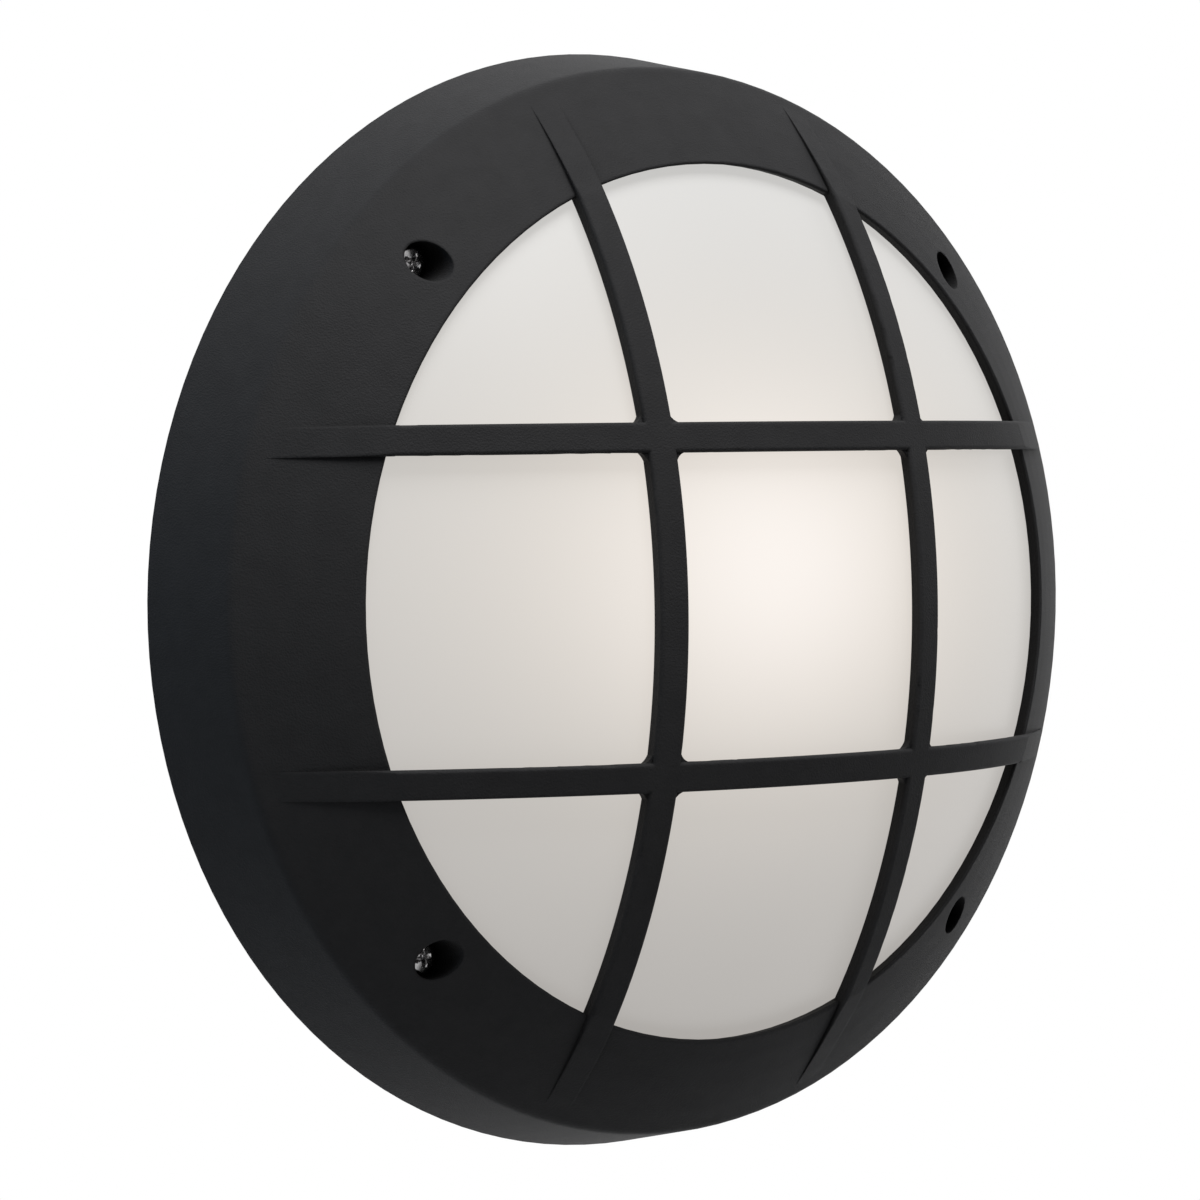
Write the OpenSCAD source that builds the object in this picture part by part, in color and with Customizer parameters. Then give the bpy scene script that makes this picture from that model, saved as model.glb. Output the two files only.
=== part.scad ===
// Round bulkhead light for a wall: a moulded guard with crossing domed bars over an opal bowl,
// screwed to a rear housing that carries the lampholder, the terminal block and the wiring.
// Millimetres. The origin is the middle of the back face, the front looks along -Y and +Z is up.
// Most modules are written lying on their back, with heights counted from the wall,
// and on_wall() stands them up.

/* [Front guard] */
// Clear diameter of the window
window_d = 210.6; // [190:0.2:240]
// Height of the window's edge above the wall
window_h = 47; // [45:0.5:50]
// Radial width of the sloping ring face
face_w = 24.7; // [23:0.1:30]
// How far the ring face bulges outwards at its middle
face_bulge = 0.5; // [0.2:0.1:1]
// Height of the shoulder between face and skirt
shoulder_h = 26.6; // [26:0.1:30]
// Rounding of the shoulder
shoulder_round = 4; // [2:0.5:5]
// How much the skirt widens from the shoulder to the wall, on the radius
skirt_flare = 5; // [3:0.1:8]
// Wall of the guard
guard_wall = 3; // [2.5:0.1:3.5]
// Shadow gap between the skirt and the wall
skirt_gap = 0.6; // [0.4:0.1:1.5]
// Number of stiffening ribs inside the skirt
skirt_ribs = 12; // [8:4:16]
// Thickness of the stiffening ribs
skirt_rib_w = 1.8; // [1.2:0.1:2.4]
// Height of the stiffening ribs' feet above the housing's rim
skirt_rib_clear = 6; // [4:0.5:8]

/* [Guard bars] */
// Distance between the two bars of a pair, middle to middle
bar_pitch = 79; // [60:1:95]
// Width of a bar at the front
bar_w = 7.5; // [6:0.1:9]
// Width of a bar at the back
bar_back_w = 5.9; // [5:0.1:6.5]
// Depth of a bar
bar_depth = 3.8; // [3.2:0.1:5]
// Rounding of a bar's front edges
bar_round = 0.9; // [0.6:0.1:1.2]
// Rounding of a pane's corner where bars cross
crossing_round = 3; // [2:0.5:4]
// How far the bars stand proud of the ring face at the window
rib_proud = 1.8; // [1:0.1:2.5]

/* [Cover screws] */
// Distance of the screws' circle from the window's edge
screw_inset = 9.5; // [9:0.1:11]
// Diameter of a screw well
well_d = 9.6; // [9:0.1:11]
// Wall of a screw well
well_wall = 1.75; // [1.5:0.05:2]
// Floor of a screw well
well_floor = 3; // [2:0.1:4]
// Diameter of the screws
screw_d = 4; // [3.5:0.1:4.5]
// Length of the screws under the head
screw_l = 22; // [18:1:24]
// Diameter of the screw heads
screw_head_d = 8; // [7:0.1:8.5]
// Height of the screw heads
screw_head_h = 3; // [2.4:0.1:3.4]
// Thickness of the captive washers
washer_t = 1.2; // [1:0.1:1.6]
// Diameter of the captive washers
washer_d = 9; // [8:0.1:10]

/* [Diffuser bowl] */
// How far the bowl reaches behind the window's edge
bowl_overlap = 1.2; // [0.8:0.1:2]
// Wall of the bowl
bowl_wall = 2.5; // [2:0.1:3]
// Gap between the bowl and the bars
bowl_gap = 1; // [0.8:0.1:2]
// Thickness of the bowl's flange
flange_t = 3; // [2.5:0.1:4]
// How far the flange reaches past the seal on each side
flange_margin = 1; // [0.6:0.1:1.6]
// Radius of the flange's screw ears
ear_r = 6; // [5.5:0.1:6.5]

/* [Rear housing] */
// Depth of the cored pockets in the back
pocket_depth = 2; // [1:0.1:3]
// Thickness of the floor over the pockets
floor_t = 2.5; // [2:0.1:4]
// Radius of the pad in the middle of the back
hub_r = 16; // [12:0.5:20]
// Number of spokes between the pockets
spokes = 6; // [4:1:8]
// Width of the spokes
spoke_w = 8; // [5:0.5:12]
// Solid margin between the pockets and the cup's wall
pocket_margin = 4; // [3:0.5:6]
// Gap between the housing's rim and the skirt
rim_clear = 1.2; // [0.8:0.1:2]
// Height of the rim
rim_h = 9; // [6:0.5:11]
// Wall of the rim and of the cup's two skins
housing_wall = 2; // [1.6:0.1:2.4]
// Number of ribs between the cup and the rim
housing_ribs = 20; // [12:4:28]
// How far these ribs stay below the rim
rib_drop = 1; // [0.5:0.1:2]
// Height of the seal's seat above the wall
seal_seat_h = 21.5; // [20:0.5:22]
// Width of the seal ring
seal_w = 5; // [4:0.1:6]
// Thickness of the seal ring when pressed
seal_t = 2.5; // [2:0.1:3]
// Radius of the screw posts
post_r = 6.2; // [5.8:0.1:7]
// Diameter of the threaded inserts
insert_d = 6; // [5.6:0.1:6.4]
// Length of the threaded inserts
insert_l = 9; // [6:0.5:10]
// Diameter of the circle of wall fixings
fixing_circle = 164; // [150:1:170]
// Diameter of the wall fixing holes
fixing_d = 5.5; // [4.5:0.1:6.5]
// Radius of the pads round the wall fixings
fixing_pad_r = 9; // [7:0.5:10]

/* [Cable entry] */
// Distance of the cable entry to the right of the middle
entry_x = 54; // [50:1:60]
// Distance of the cable entry above the middle
entry_z = 6; // [0:1:20]
// Diameter of the cable that the grommet takes
cable_d = 8; // [6:0.1:10]
// Diameter of the hole in the floor
entry_hole_d = 16; // [14:0.5:20]
// Wall of the collar round the grommet
collar_wall = 2; // [1.5:0.1:3]
// How far the grommet's lips reach over the floor
grommet_lip = 2.6; // [2:0.1:4]
// Length of the grommet's nose inside the housing
grommet_nose = 6; // [4:0.5:8]
// Wall of the grommet's nose at its tip
nose_wall = 2; // [1.5:0.1:3]
// How much thicker the nose is at its root
nose_taper = 1.5; // [0.5:0.1:2]

/* [Lamp] */
// Diameter of the lamp's globe
lamp_d = 60; // [50:1:62]
// Length of the lamp from the tip of its cap
lamp_l = 104; // [96:1:108]
// Diameter of the lamp's screw cap
cap_d = 26; // [25:0.1:27]
// Length of the lamp's screw cap
cap_l = 26; // [24:0.5:28]
// Diameter of the contact at the cap's tip
tip_d = 9; // [8:0.5:10]
// Height of the contact at the cap's tip
tip_h = 2; // [1.5:0.1:2.5]
// Diameter of the insulator round the contact
insulator_d = 19; // [17:0.5:21]
// Straight length of the lamp's neck above the cap
neck_l = 4; // [3:0.5:6]
// Space between the lamp and the floor
lamp_under = 3.5; // [3:0.1:8]
// Space between the lamp and the bowl
lamp_over = 6.7; // [5:0.1:12]

/* [Lampholder] */
// Outer diameter of the lampholder
holder_d = 40; // [38:0.5:44]
// Diameter of the lampholder's foot
foot_d = 33; // [31:0.5:36]
// Length of the lampholder's foot
foot_l = 12; // [10:0.5:14]
// Floor of the lampholder under its bore
holder_floor = 12; // [9:0.5:14]
// How much of the lamp's cap the lampholder hides
cap_hidden = 24; // [20:0.5:25]
// How much the lampholder tapers towards its foot, on the radius
holder_taper = 1; // [0.5:0.1:2]
// Height of the chamfer at the lampholder's mouth
mouth_l = 2; // [1:0.1:2.5]
// Gap between the lamp's cap and the screw shell
shell_gap = 0.4; // [0.3:0.05:0.6]
// Wall of the screw shell
shell_wall = 0.6; // [0.4:0.05:0.8]
// How far the screw shell starts above the lamp's tip
shell_from = 3; // [2:0.1:4]
// Height of the sprung contact
contact_h = 3; // [2.5:0.1:4]
// Length of the sprung contact
contact_l = 10; // [8:0.5:12]
// Width of the sprung contact
contact_w = 5; // [4:0.1:6]
// Thickness of the sprung contact
contact_t = 0.5; // [0.3:0.05:0.6]
// Width of the notches for the terminals
notch_w = 8; // [7:0.1:9]
// Depth of the notches for the terminals
notch_depth = 3.5; // [3:0.1:4]
// Margin of the foot above and below the notches
notch_margin = 2; // [1.5:0.1:3]
// Length of a terminal cage
cage_l = 5; // [4:0.1:6]
// Wall behind the hole in a terminal cage
cage_floor = 1; // [0.6:0.1:1.5]

/* [Bracket and small screws] */
// Thickness of the bracket's sheet
sheet_t = 1.5; // [1:0.1:2]
// Inner radius of the bracket's bend
bend_r = 2; // [1:0.1:3]
// Width of the bracket
bracket_w = 36; // [34:1:40]
// Length of the bracket's foot
bracket_foot = 18; // [15:0.5:20]
// Gap between the corners of the bracket's foot and the cup's wall
bracket_gap = 1.6; // [1:0.1:4]
// Cut-off at the bracket's upper corners
bracket_chamfer = 4; // [2:0.5:6]
// Diameter of the hole in the middle of the bracket
bracket_hole_d = 8; // [6:0.5:10]
// Height of the bracket's seats above the floor
bracket_seat = 3; // [2:0.1:6]
// Distance between the two bracket screws
bracket_screw_pitch = 20; // [16:0.5:24]
// Distance between the two lampholder screws
holder_screw_pitch = 20; // [18:0.5:22]
// How far the lampholder screws reach into the lampholder
holder_bite = 6.5; // [5:0.1:8]
// Diameter of the small screws
small_screw_d = 3; // [2.5:0.1:3.5]
// Diameter of the small screws' heads
small_head_d = 5.4; // [5:0.1:5.6]
// Height of the small screws' heads
small_head_h = 2; // [1.6:0.1:2.4]

/* [Terminal block and leads] */
// Distance of the terminal block to the right of the middle
block_x = 54; // [50:1:58]
// Distance of the terminal block below the middle
block_below = 40; // [34:1:42]
// Pitch of the poles
pole_pitch = 12; // [11.5:0.5:14]
// Length of the terminal block along its tubes
block_l = 17; // [15:0.5:19]
// Height of the terminal block
block_h = 13; // [11:0.5:15]
// Height of the terminal block's base between the poles
base_h = 4.4; // [3.6:0.1:5]
// How far the base is set back at both ends
base_inset = 2.4; // [1.5:0.1:3]
// Height of the pad under the terminal block
block_pad = 2; // [1:0.1:4]
// Height of the tubes' middle above the block's underside
tube_rise = 5.5; // [5:0.1:6.5]
// Outer diameter of a terminal tube
tube_d = 5.6; // [5:0.1:5.8]
// Bore of a terminal tube
tube_bore = 3.4; // [3:0.1:3.8]
// Wall of the block round a tube
tube_wall = 1.6; // [1.2:0.1:2]
// How far the tubes are set back in the block at both ends
tube_inset = 1.5; // [1:0.1:2.5]
// Wall of the chimneys over the terminal screws
chimney_wall = 0.8; // [0.6:0.1:1.2]
// Outer diameter of the leads
lead_d = 2.4; // [2:0.1:2.8]

/* [Hidden] */
$fn = 96;

// Clearances
slip = 0.2;
seat_clear = 0.3;
running = 0.05;
tip_clear = 0.5;
// How far cutters run past the faces that they cut, and joined forms into each other
over = 1;
// How far two thin skins of one moulding overlap where they join
weld = 0.3;
// How far roundings cut into the surface that they blend with
blend_bite = 0.03;
// Floor that is left under blind screw holes
blind_floor = 1;

// Roundings of the small mouldings and of the housing
fine_round = 0.4;
edge_round = 0.8;
soft_round = 1.5;
cup_round = 2;

// Steps in which the roundings of small pieces and of the ring are drawn
fine_steps = 4;
ring_steps = 3;

// Radii of the ring, from the window outwards
window_r = window_d / 2;
shoulder_r = window_r + face_w;
guard_r = shoulder_r + skirt_flare;
screw_r = window_r + screw_inset;
screw_angles = [45, 135, 225, 315];

// Heights through the middle, from the wall to the crown of the bars
floor_top = pocket_depth + floor_t;
lamp_h = floor_top + lamp_under + lamp_d / 2;
bowl_crown = lamp_h + lamp_d / 2 + lamp_over + bowl_wall;
crown_h = bowl_crown + bowl_gap + bar_depth;

// Heights through the edge, from the wall to the screw heads
flange_bottom = seal_seat_h + seal_t;
flange_top = flange_bottom + flange_t;
well_bottom = flange_top + seat_clear;
screw_seat = well_bottom + well_floor;
post_top = flange_bottom - washer_t - 2 * seat_clear;

// The dome on which the bars' fronts lie
dome_rise = crown_h - window_h - rib_proud;
dome_r = (window_r * window_r + dome_rise * dome_rise) / (2 * dome_rise);
dome_mid = crown_h - dome_r;

// Points of the ring's section, as radius and height
rim_out = [guard_r, skirt_gap];
shoulder = [shoulder_r, shoulder_h];
window_edge = [window_r, window_h];
face_along = unit(window_edge - shoulder);
face_in = [-face_along.y, face_along.x];
skirt_along = unit(shoulder - rim_out);
skirt_in = [-skirt_along.y, skirt_along.x];
under_face = shoulder + face_in * guard_wall;
inner_corner = meet(under_face, face_along, shoulder + skirt_in * guard_wall, skirt_along);
rim_in = meet(inner_corner, skirt_along, [0, skirt_gap], [1, 0]);
lip_draft = 0.5;
window_round = 0.5;
window_back = [window_r + lip_draft, line_height(under_face, face_along, window_r + lip_draft)];

// The bowl
bowl_r = window_r + bowl_overlap;
bowl_dome_r = dome_r - bar_depth - bowl_gap;
bowl_inner_r = bowl_r - bowl_wall;
seal_r = bowl_r - bowl_wall / 2;
flange_half = seal_w / 2 + flange_margin;

// The housing
groove_half = seal_w / 2 + slip;
groove_top = seal_seat_h + seal_t * 0.7;
cup_in_r = seal_r - groove_half - housing_wall;
cup_out_r = seal_r + groove_half + housing_wall;
rim_r = meet(inner_corner, skirt_along, [0, rim_h], [1, 0]).x - rim_clear;
collar_d = entry_hole_d + 2 * grommet_lip + 2 * collar_wall;

// The bracket and the lampholder, from the cup's wall upwards along the lamp's axis
bracket_reach = cup_in_r - bracket_gap;
bracket_end_z = -sqrt(bracket_reach * bracket_reach - bracket_w * bracket_w / 4);
bracket_screw_z = bracket_end_z + (bracket_foot - sheet_t - bend_r) / 2;
bracket_seat_h = floor_top + bracket_seat;
bracket_post_r = small_head_d / 2 + over;
holder_back_z = bracket_end_z + bracket_foot;
bracket_back_z = holder_back_z - sheet_t;
bore_floor_z = holder_back_z + holder_floor;
lamp_tip_z = bore_floor_z + contact_h + seat_clear;
holder_mouth_z = lamp_tip_z + cap_hidden;
holder_l = holder_mouth_z - holder_back_z;
holder_r = holder_d / 2;
foot_r = foot_d / 2;
shell_in_r = cap_d / 2 + shell_gap;
shell_out_r = shell_in_r + shell_wall;

// The terminals in the lampholder's foot
notch_in = foot_r - notch_depth;
notch_l = foot_l - 2 * notch_margin;
terminal_x = notch_in + 2 * cage_floor;
terminal_z = holder_back_z + foot_l / 2;

// The terminal block, in heights from the wall
block_z = -block_below;
block_seat = floor_top + block_pad;
block_top = block_seat + block_h;
base_top = block_seat + base_h;
tube_h = block_seat + tube_rise;
block_w = 2 * pole_pitch + 2 * over;
pole_xs = [block_x - pole_pitch / 2, block_x + pole_pitch / 2];

// Hand-chosen routes of the leads, as x, z and height, from the terminal block to the lampholder
live_route = [
    [pole_xs[0], block_z - 4, tube_h], [pole_xs[0], block_z - 10, tube_h], [45, -57, tube_h + 1],
    [38, -66, 20], [30, -71, 29], [25, -73, 35.5],
    [21.5, terminal_z, lamp_h], [18.5, terminal_z, lamp_h], [terminal_x, terminal_z, lamp_h]
];
neutral_route = [
    [pole_xs[1], block_z - 4, tube_h], [pole_xs[1], block_z - 10, tube_h], [54, -60, 11], [42, -65, 10],
    [24, -66, 9.5], [0, -66, 9.5], [-20, -67, 11], [-30, -70, 19], [-30, -72, 29], [-25.5, -73, 35.5],
    [-21.5, terminal_z, lamp_h], [-18.5, terminal_z, lamp_h], [-terminal_x, terminal_z, lamp_h]
];
lead_steps = 4;
lead_sides = 8;
lead_up = [0.3, 0.2, 1];

// Geometry helpers

function unit(v) = v / norm(v);

function turned(v, a) = [v.x * cos(a) - v.y * sin(a), v.x * sin(a) + v.y * cos(a)];

// Where the line through p along d meets the line through q along e
function meet(p, d, q, e) = p + d * cross(q - p, e) / cross(d, e);

// Height at radius r of the line through p along d
function line_height(p, d, r) = p.y + d.y * (r - p.x) / d.x;

function flat(p) = [p.x, p.y];

// Corner b between a and c, rounded to radius r
function round_corner(a, b, c, r, steps) =
    r <= 0 ? [b] :
    let (
        u = unit(a - b),
        v = unit(c - b),
        half = acos(u * v) / 2,
        middle = b + unit(u + v) * r / sin(half),
        first = b + u * r / tan(half) - middle,
        sweep = (180 - 2 * half) * sign(cross(v, u))
    )
    [for (i = [0:steps]) middle + turned(first, sweep * i / steps)];

// Outline from points that each hold x, y and the rounding of that corner
function rounded(points, steps = fine_steps) =
    let (n = len(points))
    [for (i = [0:n - 1])
        let (before = points[(i + n - 1) % n], after = points[(i + 1) % n])
        each round_corner(flat(before), flat(points[i]), flat(after), points[i].z, steps)];

// Points between a and b on a shallow arc that bulges by sag to the right of the way from a to b
function bowed(a, b, sag) =
    let (right = unit([b.y - a.y, a.x - b.x]), steps = 4)
    [for (i = [1:steps - 1])
        let (t = i / steps, p = a + (b - a) * t + right * 4 * sag * t * (1 - t))
        [p.x, p.y, 0]];

// Point at distance y from the axis on a circle of radius r
function on_circle(r, y) = [sqrt(r * r - y * y), y];

// Height at radius r of a sphere about the dome's middle
function dome_height(sphere_r, r) = dome_mid + on_circle(sphere_r, r).x;

// One side of a bar's section, seen from the dome's middle: a point past the foot, the end of the flank,
// the middle of the front edge's rounding, and a point past the dome
function bar_side(side, past) =
    let (
        foot = on_circle(dome_r - bar_depth, bar_pitch / 2 + side * bar_back_w / 2),
        front = on_circle(dome_r, bar_pitch / 2 + side * bar_w / 2),
        way = unit(front - foot),
        inset = bar_round - blend_bite,
        edge_r = dome_r - inset,
        start = foot + side * inset * [way.y, -way.x],
        along = sqrt(pow(start * way, 2) - start * start + edge_r * edge_r) - start * way,
        middle = start + along * way,
        lean = acos(1 - blend_bite / bar_round) / 2,
        up = turned(unit(middle), side * lean)
    )
    [foot - past * way, foot + along * way, middle, middle + (inset + past) * up];

// Smooth curve through the points of a route, with n steps between two of them
function blended(route, n) =
    let (last = len(route) - 1)
    [for (i = [0:last - 1], k = [0:n - 1])
        let (
            a = route[max(i - 1, 0)],
            b = route[i],
            c = route[i + 1],
            d = route[min(i + 2, last)],
            t = k / n,
            bend = (2 * a - 5 * b + 4 * c - d) * t * t + (3 * b - a - 3 * c + d) * t * t * t
        )
        0.5 * (2 * b + (c - a) * t + bend),
     route[last]];

// Placing helpers

// Stands up a piece that was drawn lying on its back
module on_wall() {
    rotate([90, 0, 0]) children();
}

module at_screws() {
    for (a = screw_angles) rotate([0, 0, a]) translate([screw_r, 0, 0]) children();
}

module at_fixings() {
    for (a = screw_angles) rotate([0, 0, a]) translate([fixing_circle / 2, 0, 0]) children();
}

module at_bracket_screws() {
    for (side = [-1, 1]) translate([side * bracket_screw_pitch / 2, bracket_screw_z, 0]) children();
}

module at_holder_screws() {
    for (side = [-1, 1]) translate([side * holder_screw_pitch / 2, 0, 0]) children();
}

module at_poles() {
    for (x = pole_xs) translate([x, block_z, 0]) children();
}

// The two screws of each pole
module at_pole_screws() {
    at_poles() for (side = [-1, 1]) translate([0, side * block_l / 4, 0]) children();
}

// Turns a piece drawn along +Z into one along the lamp's axis, with its own zero at height z
module on_lamp_axis(z) {
    translate([0, -lamp_h, z]) children();
}

// Round rod along a pole, its middle at the height of the tubes
module pole_rod(d, l) {
    translate([0, l / 2, tube_h]) rotate([90, 0, 0]) cylinder(d = d, h = l);
}

// Pan-head screw, its seat at zero and its shank downwards
module pan_screw(d, l, head_d, head_h) {
    slot_w = d * 0.22;
    slot_l = head_d * 0.62;
    slot_floor = head_h * 0.45;
    point_l = d / 3;
    difference() {
        union() {
            rotate_extrude() polygon(rounded([
                [0, 0, 0], [head_d / 2, 0, slip], [head_d / 2, head_h, head_h * 0.55], [0, head_h, 0]
            ]));
            translate([0, 0, -l]) cylinder(d1 = d * 0.8, d2 = d, h = point_l);
            translate([0, 0, point_l - l]) cylinder(d = d, h = l - point_l + running);
        }
        for (a = [0, 90])
            rotate([0, 0, a]) translate([-slot_l / 2, -slot_w / 2, slot_floor])
                cube([slot_l, slot_w, head_h]);
    }
}

module small_screw(l) {
    pan_screw(small_screw_d, l, small_head_d, small_head_h);
}

// Round tube along a list of points
module swept_tube(path, r) {
    n = len(path);
    ways = [for (i = [0:n - 1]) unit(path[min(i + 1, n - 1)] - path[max(i - 1, 0)])];
    ups = [for (
        i = 0, up = unit(cross(ways[0], lead_up));
        i < n;
        i = i + 1, up = i < n ? unit(up - ways[i] * (up * ways[i])) : up
    ) up];
    rings = [for (i = [0:n - 1])
        let (side = cross(ways[i], ups[i]))
        for (k = [0:lead_sides - 1])
            let (a = 360 * k / lead_sides)
            path[i] + r * (cos(a) * ups[i] + sin(a) * side)];
    skin = [for (i = [0:n - 2], k = [0:lead_sides - 1])
        let (
            m = (k + 1) % lead_sides,
            here = i * lead_sides,
            next = here + lead_sides
        )
        each [[here + k, next + k, next + m], [here + k, next + m, here + m]]];
    start = [for (k = [0:lead_sides - 1]) k];
    end = [for (k = [lead_sides - 1:-1:0]) (n - 1) * lead_sides + k];
    polyhedron(points = rings, faces = concat(skin, [start, end]));
}

// Front guard

module front_guard() {
    color("#2a2b2d") on_wall() difference() {
        union() {
            ring_shell();
            intersection() {
                rib_space();
                guard_bars();
            }
            well_tubes();
            skirt_stiffeners();
        }
        well_bores();
    }
}

// The ring's section is the outer form less the hollow behind it
module ring_shell() {
    outer = rounded(concat(
        [[window_back.x, skirt_gap, 0], [rim_out.x, rim_out.y, 0], [shoulder.x, shoulder.y, shoulder_round]],
        bowed(shoulder, window_edge, face_bulge),
        [[window_edge.x, window_edge.y, window_round], [window_back.x, window_back.y, 0]]
    ), ring_steps);
    rotate_extrude() difference() {
        polygon(outer);
        polygon([
            [0, 0], rim_in + (rim_in - inner_corner), inner_corner, window_back, [0, window_back.y]
        ]);
    }
}

// The bars as swept: two upright and two level, the level ones running further past the dome's two faces
module guard_bars() {
    for (level = [0, 1], side = [0, 1])
        rotate([0, 0, 90 * level]) mirror([side, 0, 0]) guard_bar(over + level * over);
    crossing_fillets();
}

// A bar is a round arc with round front edges and sides that draw in towards the back
module guard_bar(past) {
    arc_r = on_circle(dome_r, bar_pitch / 2).x;
    reach = asin(on_circle(shoulder_r, bar_pitch / 2).x / arc_r);
    inner = bar_side(-1, past);
    outer = bar_side(1, past);
    translate([0, 0, dome_mid]) rotate([0, 90, 0]) rotate_extrude(angle = 2 * reach, start = 180 - reach) {
        polygon(concat(inner, [for (i = [len(outer) - 1:-1:0]) outer[i]]));
        for (points = [inner, outer]) translate(points[2]) circle(r = bar_round);
    }
}

// Rounds the corners of the panes where two bars cross, with cones that follow the draft of the bars
module crossing_fillets() {
    draft = (bar_w - bar_back_w) / 2 / bar_depth;
    cone_r = crossing_round + weld;
    block = crossing_round + over;
    reach = bar_depth + 2 * over;
    intersection() {
        translate([0, 0, dome_mid]) sphere(r = dome_r - bar_round);
        for (mx = [0, 1], my = [0, 1], sx = [-1, 1], sy = [-1, 1])
            let (corner = [bar_pitch + sx * bar_w, bar_pitch + sy * bar_w] / 2)
            mirror([mx, 0, 0]) mirror([0, my, 0])
                translate([corner.x, corner.y, dome_height(dome_r, norm(corner))])
                    mirror([sx < 0 ? 1 : 0, 0, 0]) mirror([0, sy < 0 ? 1 : 0, 0]) difference() {
                        translate([-over, -over, -reach]) cube([block, block, 2 * reach]);
                        translate([crossing_round, crossing_round, -reach - over]) cylinder(
                            r1 = cone_r + draft * (reach + over),
                            r2 = cone_r - draft * (reach + over),
                            h = 2 * (reach + over)
                        );
                    }
    }
}

// Where the bars may be: a domed shell inside the window that dies into the ring face outside it
module rib_space() {
    fade_r = shoulder_r - shoulder_round * 0.8;
    end_r = fade_r + shoulder_round * 0.4;
    rooted = guard_wall * 0.6;
    face = [for (p = bowed(shoulder, window_edge, face_bulge)) flat(p)];
    end_h = line_height(shoulder, face[0] - shoulder, end_r);
    fade = rib_proud / (fade_r - window_r);
    tops = [for (p = face) p + [0, fade * (fade_r - p.x)]];
    rib_start = window_edge + [0, rib_proud];
    past_r = window_r - bar_w;
    past_h = line_height(rib_start, rib_start - tops[len(tops) - 1], past_r);
    rotate_extrude() intersection() {
        translate([0, dome_mid]) difference() {
            circle(r = dome_r, $fn = 240);
            circle(r = dome_r - bar_depth, $fn = 240);
        }
        polygon(concat(
            [
                [0, 0], [window_back.x, 0], window_back + [lip_draft, guard_wall - rooted],
                [end_r, end_h - rooted], [end_r, end_h - fade * (end_r - fade_r)]
            ],
            tops,
            [[past_r, past_h], [past_r, crown_h + over], [0, crown_h + over]]
        ));
    }
}

module well_tubes() {
    half_way = shoulder + face_in * guard_wall / 2;
    inner = screw_r - well_d / 2 - well_wall - over;
    outer = shoulder_r - over;
    intersection() {
        at_screws() translate([0, 0, well_bottom]) cylinder(r = well_d / 2 + well_wall, h = window_h);
        rotate_extrude() polygon([
            [inner, 0], [outer, 0], [outer, line_height(half_way, face_along, outer)],
            [inner, line_height(half_way, face_along, inner)]
        ]);
    }
}

module well_bores() {
    at_screws() {
        translate([0, 0, screw_seat]) cylinder(d = well_d, h = window_h);
        translate([0, 0, well_bottom - over])
            cylinder(d = screw_d + 2 * seat_clear, h = well_floor + 2 * over);
    }
}

// Thin gussets between the skirt and the underside of the face
module skirt_stiffeners() {
    foot_h = rim_h + skirt_rib_clear;
    top_r = shoulder_r - face_w / 2;
    foot = meet(inner_corner, skirt_along, [0, foot_h], [1, 0]) - skirt_in * over;
    knee = inner_corner - skirt_in * over - face_in * weld;
    top = [top_r, line_height(under_face, face_along, top_r)] - face_in * over;
    wedge = 2 * asin(skirt_rib_w / 2 / shoulder_r);
    for (i = [0:skirt_ribs - 1])
        rotate([0, 0, 360 * i / skirt_ribs])
            rotate_extrude(angle = wedge, start = -wedge / 2) polygon([foot, knee, top]);
}

// Diffuser bowl

module diffuser_bowl() {
    ear_from = seal_r + flange_half - over;
    color("#f2f0ea") on_wall() difference() {
        union() {
            rotate_extrude() bowl_section();
            for (a = screw_angles) rotate([0, 0, a]) translate([0, 0, flange_bottom]) {
                translate([screw_r, 0, 0]) cylinder(r = ear_r, h = flange_t);
                translate([ear_from, -ear_r, 0]) cube([screw_r - ear_from, 2 * ear_r, flange_t]);
            }
        }
        at_screws() translate([0, 0, flange_bottom - over])
            cylinder(d = screw_d + 4 * seat_clear, h = flange_t + 2 * over);
    }
}

// Domed front, straight side and flange
module bowl_section() {
    side_top = dome_height(bowl_dome_r - bowl_wall, bowl_inner_r) + weld;
    intersection() {
        translate([0, dome_mid]) difference() {
            circle(r = bowl_dome_r, $fn = 240);
            circle(r = bowl_dome_r - bowl_wall, $fn = 240);
        }
        translate([0, flange_top]) square([bowl_r, crown_h]);
    }
    translate([bowl_inner_r, flange_bottom]) square([bowl_wall, side_top - flange_bottom]);
    translate([seal_r - flange_half, flange_bottom]) square([2 * flange_half, flange_t]);
}

// Cover screws and their washers

module cover_screws() {
    color("#c3c5c8") on_wall() at_screws() translate([0, 0, screw_seat])
        pan_screw(screw_d, screw_l, screw_head_d, screw_head_h);
}

module captive_washers() {
    washer_h = flange_bottom - seat_clear - washer_t;
    color("#e8e6df") on_wall() at_screws() translate([0, 0, washer_h]) difference() {
        cylinder(d = washer_d, h = washer_t);
        translate([0, 0, -over]) cylinder(d = screw_d + 2 * running, h = washer_t + 2 * over);
    }
}

// Rear housing

module rear_housing() {
    color("#242527") on_wall() difference() {
        union() {
            housing_pan();
            housing_rib_ring();
            at_screws() cylinder(r = post_r, h = post_top);
            bracket_posts();
            block_seat_pad();
            entry_collar();
        }
        back_pockets();
        cup_core();
        post_bores();
        fixing_holes();
        bracket_post_bores();
        block_screw_bore();
        entry_bore();
    }
}

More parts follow.
